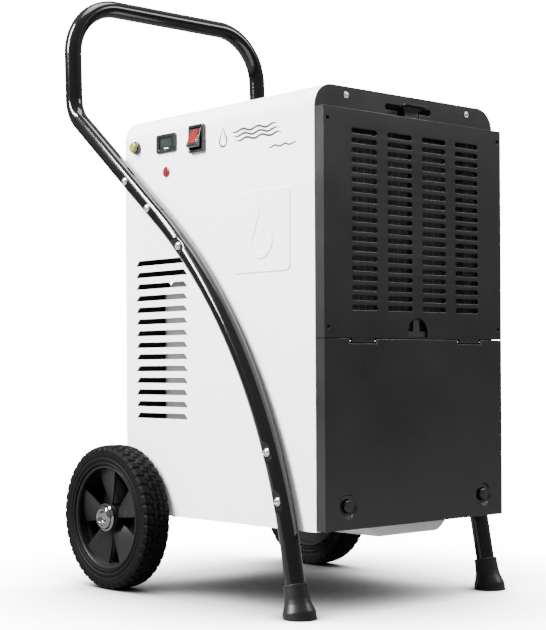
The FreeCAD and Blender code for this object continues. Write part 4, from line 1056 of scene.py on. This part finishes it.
def make_controls():
    """Hour meter, rocker switch, lamp and button on the left wall."""
    bm = bmesh.new()
    window = oblong(*METER, 32, 17.4, 1.4)
    add_panel(bm, "left", oblong(*METER, 44.8, 26.4, 4), [window], 170.02, 172.6, 0.9, 3)
    add_panel(bm, "left", oblong(*METER, 37.6, 21.6, 1), [window], 150, 170.1, 0.1, 0)
    add_plate(bm, METER, 16.4, 9, 149, 151, 0.2)
    dress("meter_bezel", bm, "cabinet", "switch_plastic", ["hour_meter"])
    bm = bmesh.new()
    add_plate(bm, METER, 15.9, 8.6, 170.2, 171.3, 0.3, 1.3)
    dress("meter_glass", bm, "cabinet", "window_clear", ["hour_meter_window"])
    bm = bmesh.new()
    add_panel(bm, "left", oblong(METER[0], METER[1] + 0.6, 23, 10.6, 0.8), [], 171.25, 171.42, 0.03, 0)
    dress("meter_display", bm, "cabinet", "window_clear", material="display_grey")
    bm = bmesh.new()
    add_panel(bm, "left", oblong(METER[0], METER[1] - 6.8, 9, 1.5, 0.4), [], 171.25, 171.5, 0.03, 0)
    dress("meter_tick", bm, "cabinet", "cabinet_white", material="print_white")

    bm = bmesh.new()
    mouth = oblong(*SWITCH, 2 * ROCKER_HALF + 0.8, 30.2, 0.8)
    add_panel(bm, "left", oblong(*SWITCH, 32.2, 38.2, 2.6), [mouth], 170.02, 175, 1.1, 3)
    add_panel(bm, "left", oblong(*SWITCH, 27.6, 33.6, 0.8), [mouth], 150, 170.1, 0.1, 0)
    add_plate(bm, SWITCH, 13.7, 16.7, 148.5, 150.5, 0.2)
    dress("rocker_housing", bm, "cabinet", "switch_plastic", ["switch_bezel"])
    bm = bmesh.new()
    profile = [(-3.0, 14.2), (-6.2, 0.6), (-10.9, -9.6), (-8.2, -12.2), (-2, -12.6), (4.6, -8.6),
               (4.6, 8.6), (2.0, 14.2)]
    shape = [(ROCKER_X + u, SWITCH[1] + v) for u, v in soft(profile, 2.6, 4, closed=True)]
    add_panel(bm, "rear", shape, [], SWITCH[0] - ROCKER_HALF, SWITCH[0] + ROCKER_HALF, 0.9, 3)
    rows = [(0, -13.2), (1.5, -13.2), (1.5, 13.2), (0, 13.2)]
    add_lathe(bm, rows, spot("left", *SWITCH, -ROCKER_X), (0, 1, 0), 16)
    dress("rocker_key", bm, "rocker", "switch_plastic", ["switch_rocker"])
    bm = bmesh.new()
    profile = [(-3.9, 11.8), (-6.75, 0.4), (-10.0, -6.6), (-8.6, -6.6), (-5.2, 0.6), (-2.6, 11.8)]
    lens = [(ROCKER_X + u, SWITCH[1] + v) for u, v in profile]
    add_panel(bm, "rear", lens, [], SWITCH[0] - 8.6, SWITCH[0] + 8.6, 0.3, 3)
    dress("rocker_lens", bm, "rocker", "rocker_red")

    lens = soft([(0, 150), (4.9, 150), (4.9, 170.02), (7.5, 170.02), (7.5, 171.0), (6.2, 171.6),
                 (0, 172.0)], 0.6, 3)
    turned("lamp_lens", "cabinet", "lamp_red", ["pilot_lamp"], lens, spot("left", *LAMP, 0), (-1, 0, 0), 48)
    collar = soft([(5.9, 146), (5.9, 170.02), (9.0, 170.02), (9.0, 174.0), (8.2, 175.0), (7.15, 175.0),
                   (7.15, 171), (2.6, 170.6), (2.6, 146)], 0.5, 3, closed=True)
    turned("push_collar", "cabinet", "switch_plastic", ["button_collar"], collar,
           spot("left", *BUTTON, 0), (-1, 0, 0), 48, closed=True)
    cap = soft([(0, 154.2), (2.5, 154.2), (2.5, 174.6), (7.0, 174.6), (7.0, 178.6), (5.8, 179.8),
                (0, 180.0)], 0.8, 3)
    turned("push_cap", "button", "button_yellow", ["button_cap"], cap, spot("left", *BUTTON, 0),
           (-1, 0, 0), 48)


def add_screw(bm, face, a, b, seat, outward, radius, height, sunk=False):
    """Screw head with a cross recess, as a height field over a disc."""
    rings, segments = 9, 48
    middle, loops = None, []
    for ring_number in range(rings + 1):
        reach = radius * ring_number / rings
        loop = []
        for k in range(segments):
            angle = 2 * math.pi * k / segments
            u, v = reach * math.cos(angle), reach * math.sin(angle)
            lift = height * (1.0 if sunk else math.sqrt(max(0.0, 1 - 0.85 * (reach / radius) ** 2)))
            cross = min(abs(u), abs(v))
            if reach < radius * 0.62 and cross < radius * 0.14:
                lift -= min(height * 0.6, radius * 0.25)
            place = spot(face, a + u, b + v, seat + outward * lift)
            if ring_number:
                loop.append(bm.verts.new(place))
            elif not k:
                middle = bm.verts.new(place)
        if loop:
            loops.append(loop)
    for k in range(segments):
        bm.faces.new((middle, loops[0][k], loops[0][(k + 1) % segments]))
    base = [bm.verts.new(spot(face, u, v, seat)) for u, v in circle(a, b, radius, segments)]
    loops.append(base)
    for one, two in zip(loops, loops[1:]):
        bridge(bm, one, two)
    bm.faces.new(base)


def make_screws():
    """Bright fascia screws, dark sunk grille screws and bright rear screws."""
    bm = bmesh.new()
    for u in (-115.6, 115.6):
        add_screw(bm, "front", u, 662, 1.5, 1, 4.7, 2.7)
    dress("plate_screws", bm, "cabinet", "zinc_fastener", ["fascia_screws"])
    bm = bmesh.new()
    for u in (-163, 163):
        for v in (366.5, 627):
            add_screw(bm, "front", u, v, 13.6, 1, 4.2, 2.0, sunk=True)
    dress("corner_screws", bm, "cabinet", "black_fastener", ["grille_screws"])
    bm = bmesh.new()
    places = [(side * 158, v) for side in (-1, 1) for v in (125, 320, 630)] + [(0, 125), (0, 640)]
    for u, v in places:
        add_screw(bm, "rear", u, v, 400, 1, 4.2, 2.3)
    dress("back_screws", bm, "cabinet", "zinc_fastener", ["rear_screws"])


# ---------------------------------------------------------------- behind the grilles

def make_inside():
    """Near-black sheets inside the rear wall and behind the left louvres, a painted shade for the dark inside
    seen through the louvres, and a fan with twisted blades.
    """
    bm = bmesh.new()
    # painted shade: near-black sheet inside the rear wall, around the fan opening
    outline = rectangle(-165, 165, 114, 640)
    add_panel(bm, "rear", outline, [circle(0, FAN_Z, 107, 48)], 393.6, 398.3, 0.8, 2)
    # painted shade: near-black sheet behind the upper left louvres, its lower edge following the compressor's
    # dome
    shade_sheet_outline = [(393, 432), (393, 625), (300, 625), (300, 443), (318, 452), (333, 457), (348, 452),
              (366, 443)]
    add_panel(bm, "left", shade_sheet_outline, [], 110, 113, 0.6, 2)
    dress("painted_shade_lining", bm, "cabinet", "foot_rubber", material="painted_shade_black")
    bm = bmesh.new()
    hub = soft([(4.02, 134.2), (31.5, 134.2), (31.8, 150), (30, 162), (22, 165.8), (4.02, 165.8)],
               2.5, 4, closed=True)
    add_lathe(bm, hub, spot("rear", 0, FAN_Z, 0), (0, 1, 0), 64, closed=True)
    for number in range(5):
        add_blade(bm, 2 * math.pi * number / 5)
    dress("axial_fan", bm, "fan", "fan_plastic", ["fan_rotor"], angle=50)


def add_blade(bm, start):
    """One twisted, swept fan blade as a closed shell."""
    sides = []
    for thickness in (-0.9, 0.9):
        grid = []
        for i in range(9):
            t = i / 8
            reach = 30 + 73 * t
            pitch = math.radians(40 - 16 * t)
            chord = 46 + 16 * t
            row = []
            for j in range(9):
                s = j / 8 - 0.5
                angle = start + s * chord * math.cos(pitch) / reach + 0.25 * t
                along = 150 + s * chord * math.sin(pitch) * 0.8 + 2.5 * (1 - 4 * s * s)
                edge = 1 - abs(2 * s) ** 4
                row.append(spot("rear", reach * math.cos(angle), FAN_Z + reach * math.sin(angle),
                                along + thickness * (0.25 + 0.75 * edge)))
            grid.append(row)
        sides.append(grid)
    add_slab(bm, *sides)


make_shell()
make_print()
make_fascia()
make_grille()
make_flap()
make_filter()
make_tank()
make_controls()
make_screws()
make_inside()
